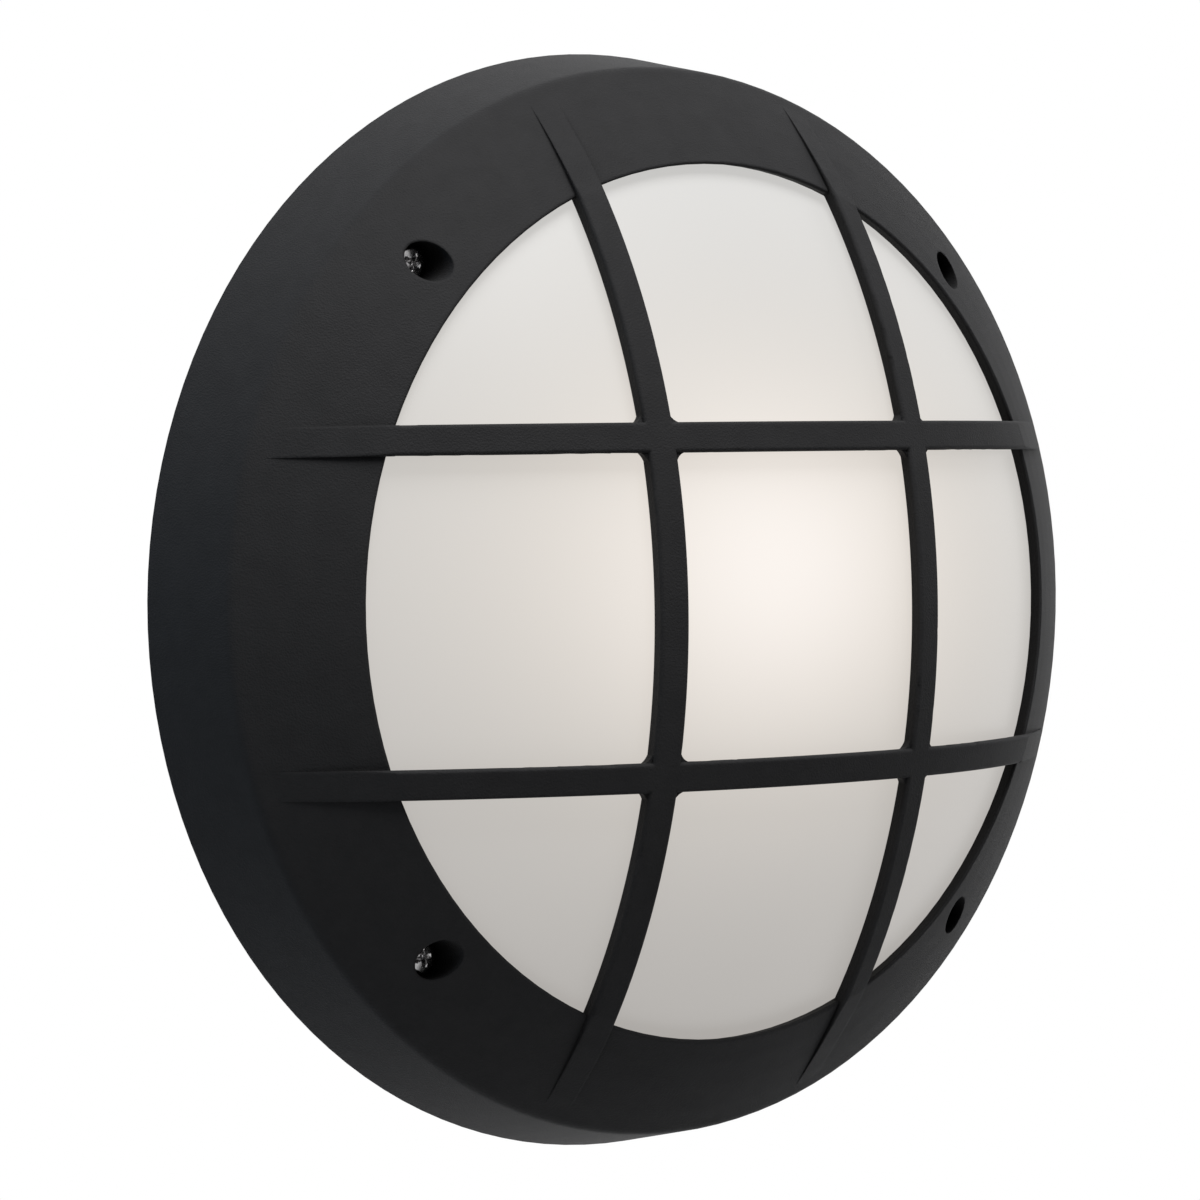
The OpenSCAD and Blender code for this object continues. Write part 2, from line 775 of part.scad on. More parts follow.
// Floor, cup wall with the seal's groove, and outer rim
module housing_pan() {
    rim_wall_r = rim_r - housing_wall;
    groove_out = seal_r + groove_half;
    groove_in = seal_r - groove_half;
    rotate_extrude() polygon(rounded([
        [0, 0, 0], [rim_r, 0, edge_round], [rim_r, rim_h, fine_round], [rim_wall_r, rim_h, fine_round],
        [rim_wall_r, floor_top, edge_round], [cup_out_r, floor_top, edge_round],
        [cup_out_r, groove_top, fine_round], [groove_out, groove_top, fine_round],
        [groove_out, seal_seat_h, 0], [groove_in, seal_seat_h, 0], [groove_in, groove_top, fine_round],
        [cup_in_r, groove_top, fine_round], [cup_in_r, floor_top, cup_round], [0, floor_top, 0]
    ]));
}

// Ribs between the cup and the rim, with room left at the screw posts
module housing_rib_ring() {
    step = 360 / housing_ribs;
    rib_half = housing_wall / 2;
    rib_l = rim_r - cup_out_r - housing_wall + 2 * over;
    free = asin((post_r + rib_half + over) / screw_r);
    for (i = [0:housing_ribs - 1])
        let (a = (i + 0.5) * step)
        if (min([for (s = screw_angles) abs(s - a)]) > free)
            rotate([0, 0, a]) translate([cup_out_r - over, -rib_half, floor_top - over])
                cube([rib_l, housing_wall, rim_h - rib_drop - floor_top + over]);
}

// Pockets cored out of the back, between a middle pad, the spokes and the cup
module back_pockets() {
    outer = cup_in_r - pocket_margin;
    translate([0, 0, -over]) linear_extrude(pocket_depth + over) difference() {
        circle(r = outer);
        circle(r = hub_r);
        for (i = [0:spokes - 1])
            rotate(360 * i / spokes) translate([0, -spoke_w / 2]) square([outer + over, spoke_w]);
        at_fixings() circle(r = fixing_pad_r);
        translate([entry_x, entry_z]) circle(d = collar_d + 2 * collar_wall);
    }
}

// Ring-shaped core between the two skins of the cup wall
module cup_core() {
    difference() {
        translate([0, 0, -over]) linear_extrude(seal_seat_h - floor_t + over) difference() {
            circle(r = cup_out_r - housing_wall);
            circle(r = cup_in_r + housing_wall);
        }
        for (a = screw_angles) rotate([0, 0, a]) translate([seal_r, 0, seal_seat_h / 2])
            cube([cup_out_r - cup_in_r, housing_wall, seal_seat_h + 4 * over], center = true);
    }
}

module post_bores() {
    at_screws() {
        translate([0, 0, post_top - insert_l]) cylinder(d = insert_d, h = insert_l + over);
        translate([0, 0, screw_seat - screw_l - over]) cylinder(d = screw_d + 2 * seat_clear, h = screw_l);
    }
}

module fixing_holes() {
    translate([0, 0, -over]) at_fixings() cylinder(d = fixing_d, h = floor_top + 2 * over);
}

module bracket_posts() {
    at_bracket_screws() translate([0, 0, floor_top - over])
        cylinder(r = bracket_post_r, h = bracket_seat + over);
}

module bracket_post_bores() {
    at_bracket_screws() translate([0, 0, pocket_depth + blind_floor])
        cylinder(d = small_screw_d + 2 * running, h = bracket_seat + floor_t);
}

module block_seat_pad() {
    translate([block_x - block_w / 2, block_z - block_l / 2, floor_top - over])
        cube([block_w, block_l, block_pad + over]);
}

module block_screw_bore() {
    translate([block_x, block_z, pocket_depth + blind_floor])
        cylinder(d = small_screw_d + 2 * running, h = block_pad + floor_t);
}

module entry_collar() {
    translate([entry_x, entry_z, 0]) cylinder(d = collar_d, h = floor_top);
}

module entry_bore() {
    translate([entry_x, entry_z, -over]) {
        cylinder(d = entry_hole_d, h = floor_top + 2 * over);
        cylinder(d = entry_hole_d + 2 * grommet_lip + 4 * slip, h = pocket_depth + over);
    }
}

// Seal, inserts and grommet

module seal_ring() {
    inner = seal_r - seal_w / 2;
    outer = seal_r + seal_w / 2;
    color("#3c3e41") on_wall() translate([0, 0, seal_seat_h]) rotate_extrude() polygon(rounded([
        [inner, 0, fine_round], [outer, 0, fine_round],
        [outer, seal_t, edge_round], [inner, seal_t, edge_round]
    ]));
}

module screw_inserts() {
    color("#b5924c") on_wall() at_screws() translate([0, 0, post_top - insert_l]) difference() {
        cylinder(d = insert_d, h = insert_l);
        translate([0, 0, -over]) cylinder(d = screw_d + 2 * running, h = insert_l + 2 * over);
    }
}

module cable_grommet() {
    hole_r = entry_hole_d / 2;
    lip_r = hole_r + grommet_lip;
    lip_top = floor_top + pocket_depth - slip;
    nose_r = cable_d / 2 + nose_wall;
    nose_top = lip_top + grommet_nose;
    color("#323335") on_wall() translate([entry_x, entry_z, 0]) difference() {
        rotate_extrude() polygon(rounded([
            [0, slip, 0], [lip_r, slip, edge_round], [lip_r, pocket_depth, 0], [hole_r, pocket_depth, 0],
            [hole_r, floor_top, 0], [lip_r, floor_top, 0], [lip_r, lip_top, edge_round],
            [nose_r + nose_taper, lip_top, fine_round], [nose_r, nose_top, edge_round], [0, nose_top, 0]
        ]));
        translate([0, 0, -over]) cylinder(d = cable_d, h = nose_top + 2 * over);
    }
}

// Lampholder bracket: a folded sheet with a foot and an upright

module lampholder_bracket() {
    upright_top = lamp_h + foot_r * 0.8;
    side = rounded([
        [bracket_end_z, bracket_seat_h, 0], [holder_back_z, bracket_seat_h, bend_r + sheet_t],
        [holder_back_z, upright_top, 0], [bracket_back_z, upright_top, 0],
        [bracket_back_z, bracket_seat_h + sheet_t, bend_r], [bracket_end_z, bracket_seat_h + sheet_t, 0]
    ]);
    color("#b9bcc0") difference() {
        rotate([90, 0, 90]) translate([0, 0, -bracket_w / 2]) linear_extrude(bracket_w)
            polygon([for (p = side) [-p.y, p.x]]);
        on_wall() at_bracket_screws() cylinder(d = small_screw_d + 2 * slip, h = lamp_h / 2);
        on_lamp_axis(bracket_back_z - over) {
            at_holder_screws() cylinder(d = small_screw_d + 2 * slip, h = sheet_t + 2 * over);
            cylinder(d = bracket_hole_d, h = sheet_t + 2 * over);
        }
        bracket_corners(upright_top);
    }
}

// Cuts the bracket's two upper corners off at 45 degrees
module bracket_corners(top) {
    size = bracket_chamfer * sqrt(2);
    for (side = [-1, 1]) translate([side * bracket_w / 2, -top, bracket_back_z]) rotate([0, 0, 45])
        cube([size, size, 4 * sheet_t], center = true);
}

module bracket_screws() {
    l = bracket_seat + sheet_t + floor_t - blind_floor - tip_clear;
    color("#c3c5c8") on_wall() at_bracket_screws() translate([0, 0, bracket_seat_h + sheet_t]) small_screw(l);
}

// Lampholder

module lampholder_body() {
    seat_d = 2 * shell_out_r + 2 * slip;
    mouth_over = mouth_l + weld;
    color("#e9e6de") on_lamp_axis(holder_back_z) difference() {
        rotate_extrude() polygon(rounded([
            [0, 0, 0], [foot_r, 0, edge_round], [foot_r, foot_l, soft_round],
            [holder_r - holder_taper, foot_l, soft_round], [holder_r, foot_l * 1.5, soft_round],
            [holder_r - soft_round, holder_l, edge_round], [0, holder_l, 0]
        ]));
        translate([0, 0, holder_floor]) cylinder(d = seat_d, h = holder_l);
        translate([0, 0, holder_l - mouth_l])
            cylinder(d1 = seat_d, d2 = seat_d + 2 * mouth_over, h = mouth_over);
        translate([0, 0, -over]) at_holder_screws()
            cylinder(d = small_screw_d + 2 * running, h = holder_bite + tip_clear + over);
        for (side = [-1, 1]) translate([side * (notch_in + foot_r / 2), 0, foot_l / 2])
            cube([foot_r, notch_w, notch_l], center = true);
    }
}

module lampholder_shell() {
    shell_l = cap_hidden - shell_from - over;
    color("#cdb673") on_lamp_axis(lamp_tip_z + shell_from) rotate_extrude()
        translate([shell_in_r, 0]) square([shell_wall, shell_l]);
}

// Sprung tongue in the middle of the lampholder
module lampholder_contact() {
    under = contact_h - contact_t;
    color("#cdb673") on_lamp_axis(bore_floor_z) rotate([90, 0, 0]) linear_extrude(contact_w, center = true)
        polygon(rounded([
            [-0.6 * contact_l, 0, 0], [-0.2 * contact_l, 0, contact_t],
            [0.05 * contact_l, under, 2 * contact_t], [0.4 * contact_l, under, 0],
            [0.4 * contact_l, contact_h, 0], [0.02 * contact_l, contact_h, 2 * contact_t],
            [-0.24 * contact_l, contact_t, 2 * contact_t], [-0.6 * contact_l, contact_t, 0]
        ]));
}

// Brass cages that take the leads, in the two notches of the lampholder's foot
module lampholder_terminals() {
    cage_w = notch_w - 2 * slip;
    cage_h = notch_l - 2 * slip;
    color("#cdb673") on_lamp_axis(terminal_z) for (side = [-1, 1])
        translate([side * (notch_in + cage_l / 2), 0, 0]) difference() {
            cube([cage_l, cage_w, cage_h], center = true);
            translate([side * cage_floor, 0, 0]) rotate([0, 90, 0])
                cylinder(d = lead_d + 2 * running, h = cage_l, center = true);
        }
}

module lampholder_screws() {
    color("#c3c5c8") on_lamp_axis(bracket_back_z) at_holder_screws()
        rotate([180, 0, 0]) small_screw(sheet_t + holder_bite);
}

// Terminal block

module terminal_block() {
    chimney_bore = small_screw_d + 2 * tip_clear;
    base_l = block_l - 2 * base_inset;
    color("#efece4") on_wall() difference() {
        union() {
            translate([block_x - block_w / 2, block_z - base_l / 2, block_seat])
                cube([block_w, base_l, base_h]);
            at_poles() pole_rod(tube_d + 2 * tube_wall, block_l);
            at_pole_screws() translate([0, 0, tube_h])
                cylinder(d = chimney_bore + 2 * chimney_wall, h = block_top - tube_h);
        }
        at_poles() pole_rod(tube_d + 2 * running, block_l + 2 * over);
        at_pole_screws() translate([0, 0, tube_h]) cylinder(d = chimney_bore, h = block_h);
        translate([block_x, block_z, 0]) {
            cylinder(d = small_screw_d + 2 * slip, h = block_top);
            translate([0, 0, base_top]) cylinder(d = small_head_d + 2 * slip, h = block_h);
        }
    }
}

module terminal_tubes() {
    tube_l = block_l - 2 * tube_inset;
    color("#cdb673") on_wall() difference() {
        at_poles() pole_rod(tube_d, tube_l);
        at_poles() pole_rod(tube_bore, tube_l + 2 * over);
        at_pole_screws() translate([0, 0, tube_h]) cylinder(d = small_screw_d + 2 * running, h = tube_d);
    }
}

module terminal_screws() {
    tip = tube_h + lead_d / 2 + 2 * running;
    screw_h = block_top - over - tip;
    slot_w = 0.2 * small_screw_d;
    color("#c9b98a") on_wall() at_pole_screws() translate([0, 0, tip]) difference() {
        cylinder(d = small_screw_d, h = screw_h);
        translate([-small_screw_d, -slot_w / 2, screw_h - over]) cube([2 * small_screw_d, slot_w, 2 * over]);
    }
}

module terminal_block_screw() {
    l = base_h + block_pad + floor_t - blind_floor - tip_clear;
    color("#c3c5c8") on_wall() translate([block_x, block_z, base_top]) small_screw(l);
}

// Leads

module lead(route) {
    on_wall() swept_tube(blended(route, lead_steps), lead_d / 2);
}

module lead_live() {
    color("#6b4226") lead(live_route);
}

module lead_neutral() {
    color("#2f6fb5") lead(neutral_route);
}

// Lamp: globe, neck and screw cap in one

module lamp() {
    globe_r = lamp_d / 2;
    cap_r = cap_d / 2;
    globe_mid = lamp_l - globe_r;
    neck_from = cap_l + neck_l;
    neck_to = globe_mid - globe_r * 0.55;
    neck_r = cap_r - weld;
    neck_steps = 10;
    join_r = sqrt(globe_r * globe_r - pow(globe_mid - neck_to, 2));
    neck = [for (i = [0:neck_steps])
        let (t = i / neck_steps)
        [neck_r + (join_r - neck_r) * pow(t, 1.6), neck_from + (neck_to - neck_from) * t]];
    color("#f6f3ea") on_lamp_axis(lamp_tip_z) {
        rotate_extrude() polygon(concat(
            rounded([
                [0, 0, 0], [tip_d / 2, 0, edge_round], [tip_d / 2 + over, tip_h, 0],
                [insulator_d / 2, 2 * tip_h, fine_round], [cap_r, 4 * tip_h, edge_round], [cap_r, cap_l, 0]
            ]),
            neck, [[0, neck_to]]
        ));
        rotate_extrude() intersection() {
            translate([0, globe_mid]) circle(r = globe_r);
            translate([0, neck_to - over]) square([globe_r + over, lamp_l]);
        }
    }
}

front_guard();
diffuser_bowl();
cover_screws();
captive_washers();
rear_housing();
seal_ring();
screw_inserts();
cable_grommet();
lampholder_bracket();
bracket_screws();
lampholder_body();
lampholder_shell();
lampholder_contact();
lampholder_terminals();
lampholder_screws();
terminal_block();
terminal_tubes();
terminal_screws();
terminal_block_screw();
lead_live();
lead_neutral();
lamp();
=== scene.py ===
"""Looks of a round bulkhead light: finishes, fine pieces, studio and camera around its fixed frame."""
import logging
import math
from dataclasses import dataclass, field
from enum import Enum
from typing import Callable, Sequence

import bpy
from mathutils import Matrix, Vector


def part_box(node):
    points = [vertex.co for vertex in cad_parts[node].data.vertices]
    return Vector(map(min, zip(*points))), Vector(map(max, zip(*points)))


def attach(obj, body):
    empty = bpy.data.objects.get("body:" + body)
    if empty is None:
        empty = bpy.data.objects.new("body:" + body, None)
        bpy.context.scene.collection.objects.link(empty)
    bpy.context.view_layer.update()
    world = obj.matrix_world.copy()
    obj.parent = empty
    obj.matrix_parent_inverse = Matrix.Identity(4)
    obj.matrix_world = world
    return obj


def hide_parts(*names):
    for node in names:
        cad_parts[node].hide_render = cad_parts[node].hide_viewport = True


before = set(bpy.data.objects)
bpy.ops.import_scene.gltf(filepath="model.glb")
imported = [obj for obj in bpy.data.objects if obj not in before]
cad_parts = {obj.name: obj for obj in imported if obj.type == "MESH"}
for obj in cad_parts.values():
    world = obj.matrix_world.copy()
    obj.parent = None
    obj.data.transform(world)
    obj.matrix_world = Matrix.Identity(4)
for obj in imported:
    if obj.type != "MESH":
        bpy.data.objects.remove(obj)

LOG = logging.getLogger("bulkhead_light")

# Sizes below are millimetres unless a name says otherwise
MM = 0.001

FULL_TURN = 2.0 * math.pi

# Edges that turn more than this stay sharp, on new pieces and on pieces copied from a node
SHARP_DEG = 40.0
COPY_SHARP_DEG = 30.0

# Corners that agree in this many decimals of a metre are one corner
CORNER_DECIMALS = 7

# Where a tube's first ring starts, a direction that no lead runs in
FIRST_SIDE = Vector((0.3, 0.2, 1.0))

Colour = tuple[float, float, float]
Pair = tuple[float, float]
Ring = list[Vector]
# A form's radius at a share of a turn and a height
Radius = Callable[[float, float], float]
Piece = bpy.types.Object
Socket = bpy.types.NodeSocket
Value = Socket | float | Colour


class Body(Enum):
    """Bodies of the frame that pieces ride on."""

    HOUSING = "housing"
    COVER = "cover"
    LAMP = "lamp"


class Slot(Enum):
    """Names of the record's material slots."""

    OPAL = "opal_plastic"
    STAINLESS = "stainless"
    BRASS = "brass"
    LAMP_GLASS = "lamp_glass"
    BROWN = "brown_insulation"
    BLUE = "blue_insulation"


class Finish(Enum):
    """Every finish on the light."""

    GUARD = "guard_moulding"
    HOUSING = "housing_moulding"
    OPAL = "opal_bowl"
    STAINLESS = "stainless_screw"
    ZINC = "zinc_plate"
    BRASS = "plain_brass"
    CAP = "rolled_cap"
    SOLDER = "solder_tip"
    NYLON = "ivory_nylon"
    PORCELAIN = "glazed_porcelain"
    SEAL = "seal_rubber"
    GROMMET = "grommet_rubber"
    BROWN = "brown_sheath"
    BLUE = "blue_sheath"
    LAMP = "opal_lamp"
    INSULATOR = "black_glass"


class Shader:
    """Node tree of one material, with short ways to add what the finishes are made of."""

    FALLOFF = 0.55
    PEBBLE_SOFTNESS = 0.6
    PATTERN_LOW = 0.3
    PATTERN_HIGH = 0.7
    RAYS = 4

    def __init__(self, name: str) -> None:
        """Starts a material with one principled surface.

        Args:
            name: The material's name.
        """
        self.material = bpy.data.materials.new(name)
        self.material.use_nodes = True
        self.tree = self.material.node_tree
        self.surface = self.tree.nodes["Principled BSDF"]

    def fill(self, node: bpy.types.Node, values: dict[str | int, Value]) -> None:
        """Sets or links a node's inputs.

        Args:
            node: The node whose inputs are set.
            values: A socket to link, a number or a colour for each input, by name or place.
        """
        for key, value in values.items():
            socket = node.inputs[key]
            if isinstance(value, Socket):
                self.tree.links.new(value, socket)
            elif socket.type == "RGBA":
                socket.default_value = (*value, 1.0)
            else:
                socket.default_value = value

    def node(
        self, kind: str, values: dict[str | int, Value], **settings: str | float | bool
    ) -> bpy.types.Node:
        """Adds a node.

        Args:
            kind: Blender's name of the node's type.
            values: What its inputs are set to or linked from.
            settings: The node's own options.

        Returns:
            The new node.
        """
        made = self.tree.nodes.new(kind)
        for option, choice in settings.items():
            setattr(made, option, choice)
        self.fill(made, values)
        return made

    def place(self, stretch: Colour = (1.0, 1.0, 1.0)) -> Socket:
        """Gives the point on the object.

        Args:
            stretch: How much finer a pattern gets along each axis.

        Returns:
            The point in millimetres in the frame.
        """
        spot = self.node("ShaderNodeTexCoord", {}).outputs["Object"]
        sizes = tuple(s / MM for s in stretch)
        return self.node("ShaderNodeVectorMath", {0: spot, 1: sizes}, operation="MULTIPLY").outputs[0]

    def noise(self, spot: Socket, size: float, detail: float = 2.0) -> Socket:
        """Adds a cloudy pattern.

        Args:
            spot: The point, in millimetres.
            size: Size of its largest patches.
            detail: How many finer layers it has.

        Returns:
            A value from 0 to 1.
        """
        values = {"Vector": spot, "Scale": 1.0 / size, "Detail": detail, "Roughness": self.FALLOFF}
        return self.node("ShaderNodeTexNoise", values).outputs[0]

    def cells(self, spot: Socket, size: float) -> Socket:
        """Adds a pattern of soft pebbles, as a value that is lowest at each pebble's middle.

        Args:
            spot: The point, in millimetres.
            size: Size of a pebble.

        Returns:
            The distance to the nearest pebble, from 0 to about 1.
        """
        values = {"Vector": spot, "Scale": 1.0 / size, "Smoothness": self.PEBBLE_SOFTNESS}
        return self.node("ShaderNodeTexVoronoi", values, feature="SMOOTH_F1").outputs["Distance"]

    def math(self, operation: str, a: Value, b: Value = 0.0, c: Value = 0.0) -> Socket:
        """Adds one step of arithmetic and gives its result."""
        return self.node("ShaderNodeMath", {0: a, 1: b, 2: c}, operation=operation).outputs[0]

    def spread(self, value: Socket, low: float, high: float) -> Socket:
        """Maps the middle of a pattern onto a range.

        Args:
            value: The pattern, around 0.5.
            low: What a low value becomes.
            high: What a high value becomes.

        Returns:
            The mapped value.
        """
        values = {"From Min": self.PATTERN_LOW, "From Max": self.PATTERN_HIGH, "To Min": low, "To Max": high}
        return self.node("ShaderNodeMapRange", {"Value": value, **values}).outputs[0]

    def tint(self, share: Value, a: Value, b: Value) -> Socket:
        """Mixes two colours.

        Args:
            share: How much of the second colour there is.
            a: The first colour.
            b: The second colour.

        Returns:
            The mixed colour.
        """
        return self.node("ShaderNodeMix", {0: share, 6: a, 7: b}, data_type="RGBA").outputs[2]

    def relief(self, height: Socket, depth: float, edge: float) -> Socket:
        """Adds fine relief on softly broken edges.

        Args:
            height: The relief, from 0 to 1.
            depth: How deep the relief is.
            edge: Radius of the broken edges.

        Returns:
            The normal of the surface.
        """
        soft = self.node("ShaderNodeBevel", {"Radius": edge * MM}, samples=self.RAYS).outputs[0]
        values = {"Height": height, "Distance": depth * MM, "Strength": 1.0, "Normal": soft}
        return self.node("ShaderNodeBump", values).outputs[0]


@dataclass(frozen=True)
class MouldedPlastic:
    """Moulded plastic with the fine pebble grain of a spark-eroded tool, with painted shade that darkens its
    hollows.
    """

    colour: Colour
    roughness: float
    specular: float
    grain: float
    grain_depth: float
    edge: float = 0.3
    # hollow and the reach after it paint shade: how dark the colour gets in hollows, wells and creases, and
    # how far that darkening reaches
    hollow: float = 0.1
    painted_shade_reach: float = 18.0
    mottling: float = 0.06
    gloss_swing: float = 0.05
    dust_grains: float = 0.6
    dust_height: float = 0.6
    cloud_grains: float = 14.0

    def material(self, name: str) -> bpy.types.Material:
        """Makes the material.

        Args:
            name: The material's name.

        Returns:
            The finished material.
        """
        shader = Shader(name)
        spot = shader.place()
        pebbles = shader.cells(spot, self.grain)
        dust = shader.noise(spot, self.grain * self.dust_grains, detail=3.0)
        height = shader.math("MULTIPLY_ADD", dust, self.dust_height, pebbles)
        clouds = shader.noise(spot, self.grain * self.cloud_grains, detail=4.0)
        dark = tuple(c * (1.0 - self.mottling) for c in self.colour)
        light = tuple(c * (1.0 + self.mottling) for c in self.colour)
        # Painted shade: deep is the colour that ambient occlusion paints into hollows, wells and creases
        deep = tuple(c * self.hollow for c in self.colour)
        shade = shader.tint(shader.spread(clouds, 0.0, 1.0), dark, light)
        reach = {"Distance": self.painted_shade_reach * MM}
        painted_shade_occlusion = shader.node("ShaderNodeAmbientOcclusion", reach, samples=shader.RAYS)
        swing = self.gloss_swing
        shader.fill(shader.surface, {
            "Base Color": shader.tint(painted_shade_occlusion.outputs["AO"], deep, shade),
            "Roughness": shader.spread(dust, self.roughness - swing, self.roughness + swing),
            "Specular IOR Level": self.specular,
            "Normal": shader.relief(height, self.grain_depth, self.edge),
        })
        return shader.material


@dataclass(frozen=True)
class OpalPlastic:
    """Satin opal plastic with a painted glow in place of the lamp's light through it: emission that fades
    downwards, a warm halo and a bright core.
    """

    colour: Colour
    roughness: float
    specular: float
    # low, high, halo and core are colours of the painted glow, emitted by the bowl itself
    low: Colour
    high: Colour
    halo: Colour
    halo_size: Pair
    core: Colour
    core_size: Pair
    middle: Pair
    reach: float = 100.0
    haze: float = 30.0
    mottling: float = 0.015
    skin: float = 0.5
    skin_depth: float = 0.002
    gloss_swing: float = 0.04
    edge: float = 0.4

    def material(self, name: str) -> bpy.types.Material:
        """Makes the material.

        Args:
            name: The material's name.

        Returns:
            The finished material.
        """
        shader = Shader(name)
        spot = shader.place()
        parts = shader.node("ShaderNodeSeparateXYZ", {0: spot})
        across = shader.math("SUBTRACT", parts.outputs[0], self.middle[0])
        up = shader.math("SUBTRACT", parts.outputs[2], self.middle[1])
        # Painted glow: emission that is darker towards the bottom, with a halo and a core round the middle;
        # it stays when the bowl is away from the lamp
        rise = shader.node("ShaderNodeMapRange", {0: parts.outputs[2], 1: -self.reach, 2: self.reach})
        glow = shader.tint(rise.outputs[0], self.low, self.high)
        glow = shader.tint(self.bell(shader, across, up, self.halo_size), glow, self.halo)
        glow = shader.tint(self.bell(shader, across, up, self.core_size), glow, self.core)
        haze = shader.noise(spot, self.haze, detail=3.0)
        dull = tuple(c * (1.0 - self.mottling) for c in self.colour)
        satin = shader.noise(spot, self.skin)
        swing = self.gloss_swing
        shader.fill(shader.surface, {
            "Base Color": shader.tint(shader.spread(haze, 0.0, 1.0), dull, self.colour),
            "Roughness": shader.spread(satin, self.roughness - swing, self.roughness + swing),
            "Specular IOR Level": self.specular,
            "Normal": shader.relief(satin, self.skin_depth, self.edge),
            "Emission Color": glow,
            "Emission Strength": 1.0,
        })
        return shader.material

    def bell(self, shader: Shader, across: Socket, up: Socket, size: Pair) -> Socket:
        """Adds a soft oval spot with the fall of a bell curve.

        Args:
            shader: The material's nodes.
            across: How far the point lies to the right of the spot's middle.
            up: How far it lies above it.
            size: The bell curve's spread to the sides and upwards.

        Returns:
            The spot's share at the point, 1 in its middle.
        """
        side, height = shader.math("DIVIDE", across, size[0]), shader.math("DIVIDE", up, size[1])
        far = shader.math("ADD", shader.math("MULTIPLY", side, side), shader.math("MULTIPLY", height, height))
        return shader.math("POWER", math.exp(-0.5), far)


@dataclass(frozen=True)
class PlatedMetal:
    """Metal with faint cloudy or drawn unevenness in its colour and gloss."""

    colour: Colour
    shade: Colour
    roughness: float
    unevenness: float
    patch: float
    drawn: Colour = (1.0, 1.0, 1.0)
    edge: float = 0.12
    fine_share: float = 0.12
    fine_depth: float = 0.004

    def material(self, name: str) -> bpy.types.Material:
        """Makes the material.

        Args:
            name: The material's name.

        Returns:
            The finished material.
        """
        shader = Shader(name)
        spot = shader.place(self.drawn)
        clouds = shader.noise(spot, self.patch, detail=4.0)
        fine = shader.noise(spot, self.patch * self.fine_share)
        swing = self.unevenness
        shader.fill(shader.surface, {
            "Base Color": shader.tint(shader.spread(clouds, 0.0, 1.0), self.shade, self.colour),
            "Metallic": 1.0,
            "Roughness": shader.spread(fine, self.roughness - swing, self.roughness + swing),
            "Normal": shader.relief(fine, self.fine_depth, self.edge),
        })
        return shader.material


@dataclass(frozen=True)
class SoftSolid:
    """Rubber, nylon, glaze or sheath: one colour with faint clouds, a gloss and a fine skin."""

    colour: Colour
    shade: Colour
    roughness: float
    skin: float
    skin_depth: float
    specular: float = 0.5
    coat: float = 0.0
    coat_roughness: float = 0.08
    glow: float = 0.0
    gloss_swing: float = 0.04
    cloud_skins: float = 10.0
    edge: float = 0.2

    def material(self, name: str) -> bpy.types.Material:
        """Makes the material.

        Args:
            name: The material's name.

        Returns:
            The finished material.
        """
        shader = Shader(name)
        spot = shader.place()
        clouds = shader.noise(spot, self.skin * self.cloud_skins, detail=3.0)
        fine = shader.noise(spot, self.skin)
        swing = self.gloss_swing
        shader.fill(shader.surface, {
            "Base Color": shader.tint(shader.spread(clouds, 0.0, 1.0), self.shade, self.colour),
            "Roughness": shader.spread(fine, self.roughness - swing, self.roughness + swing),
            "Specular IOR Level": self.specular,
            "Coat Weight": self.coat,
            "Coat Roughness": self.coat_roughness,
            "Normal": shader.relief(fine, self.skin_depth, self.edge),
            "Emission Color": self.colour,
            "Emission Strength": self.glow,
        })
        return shader.material


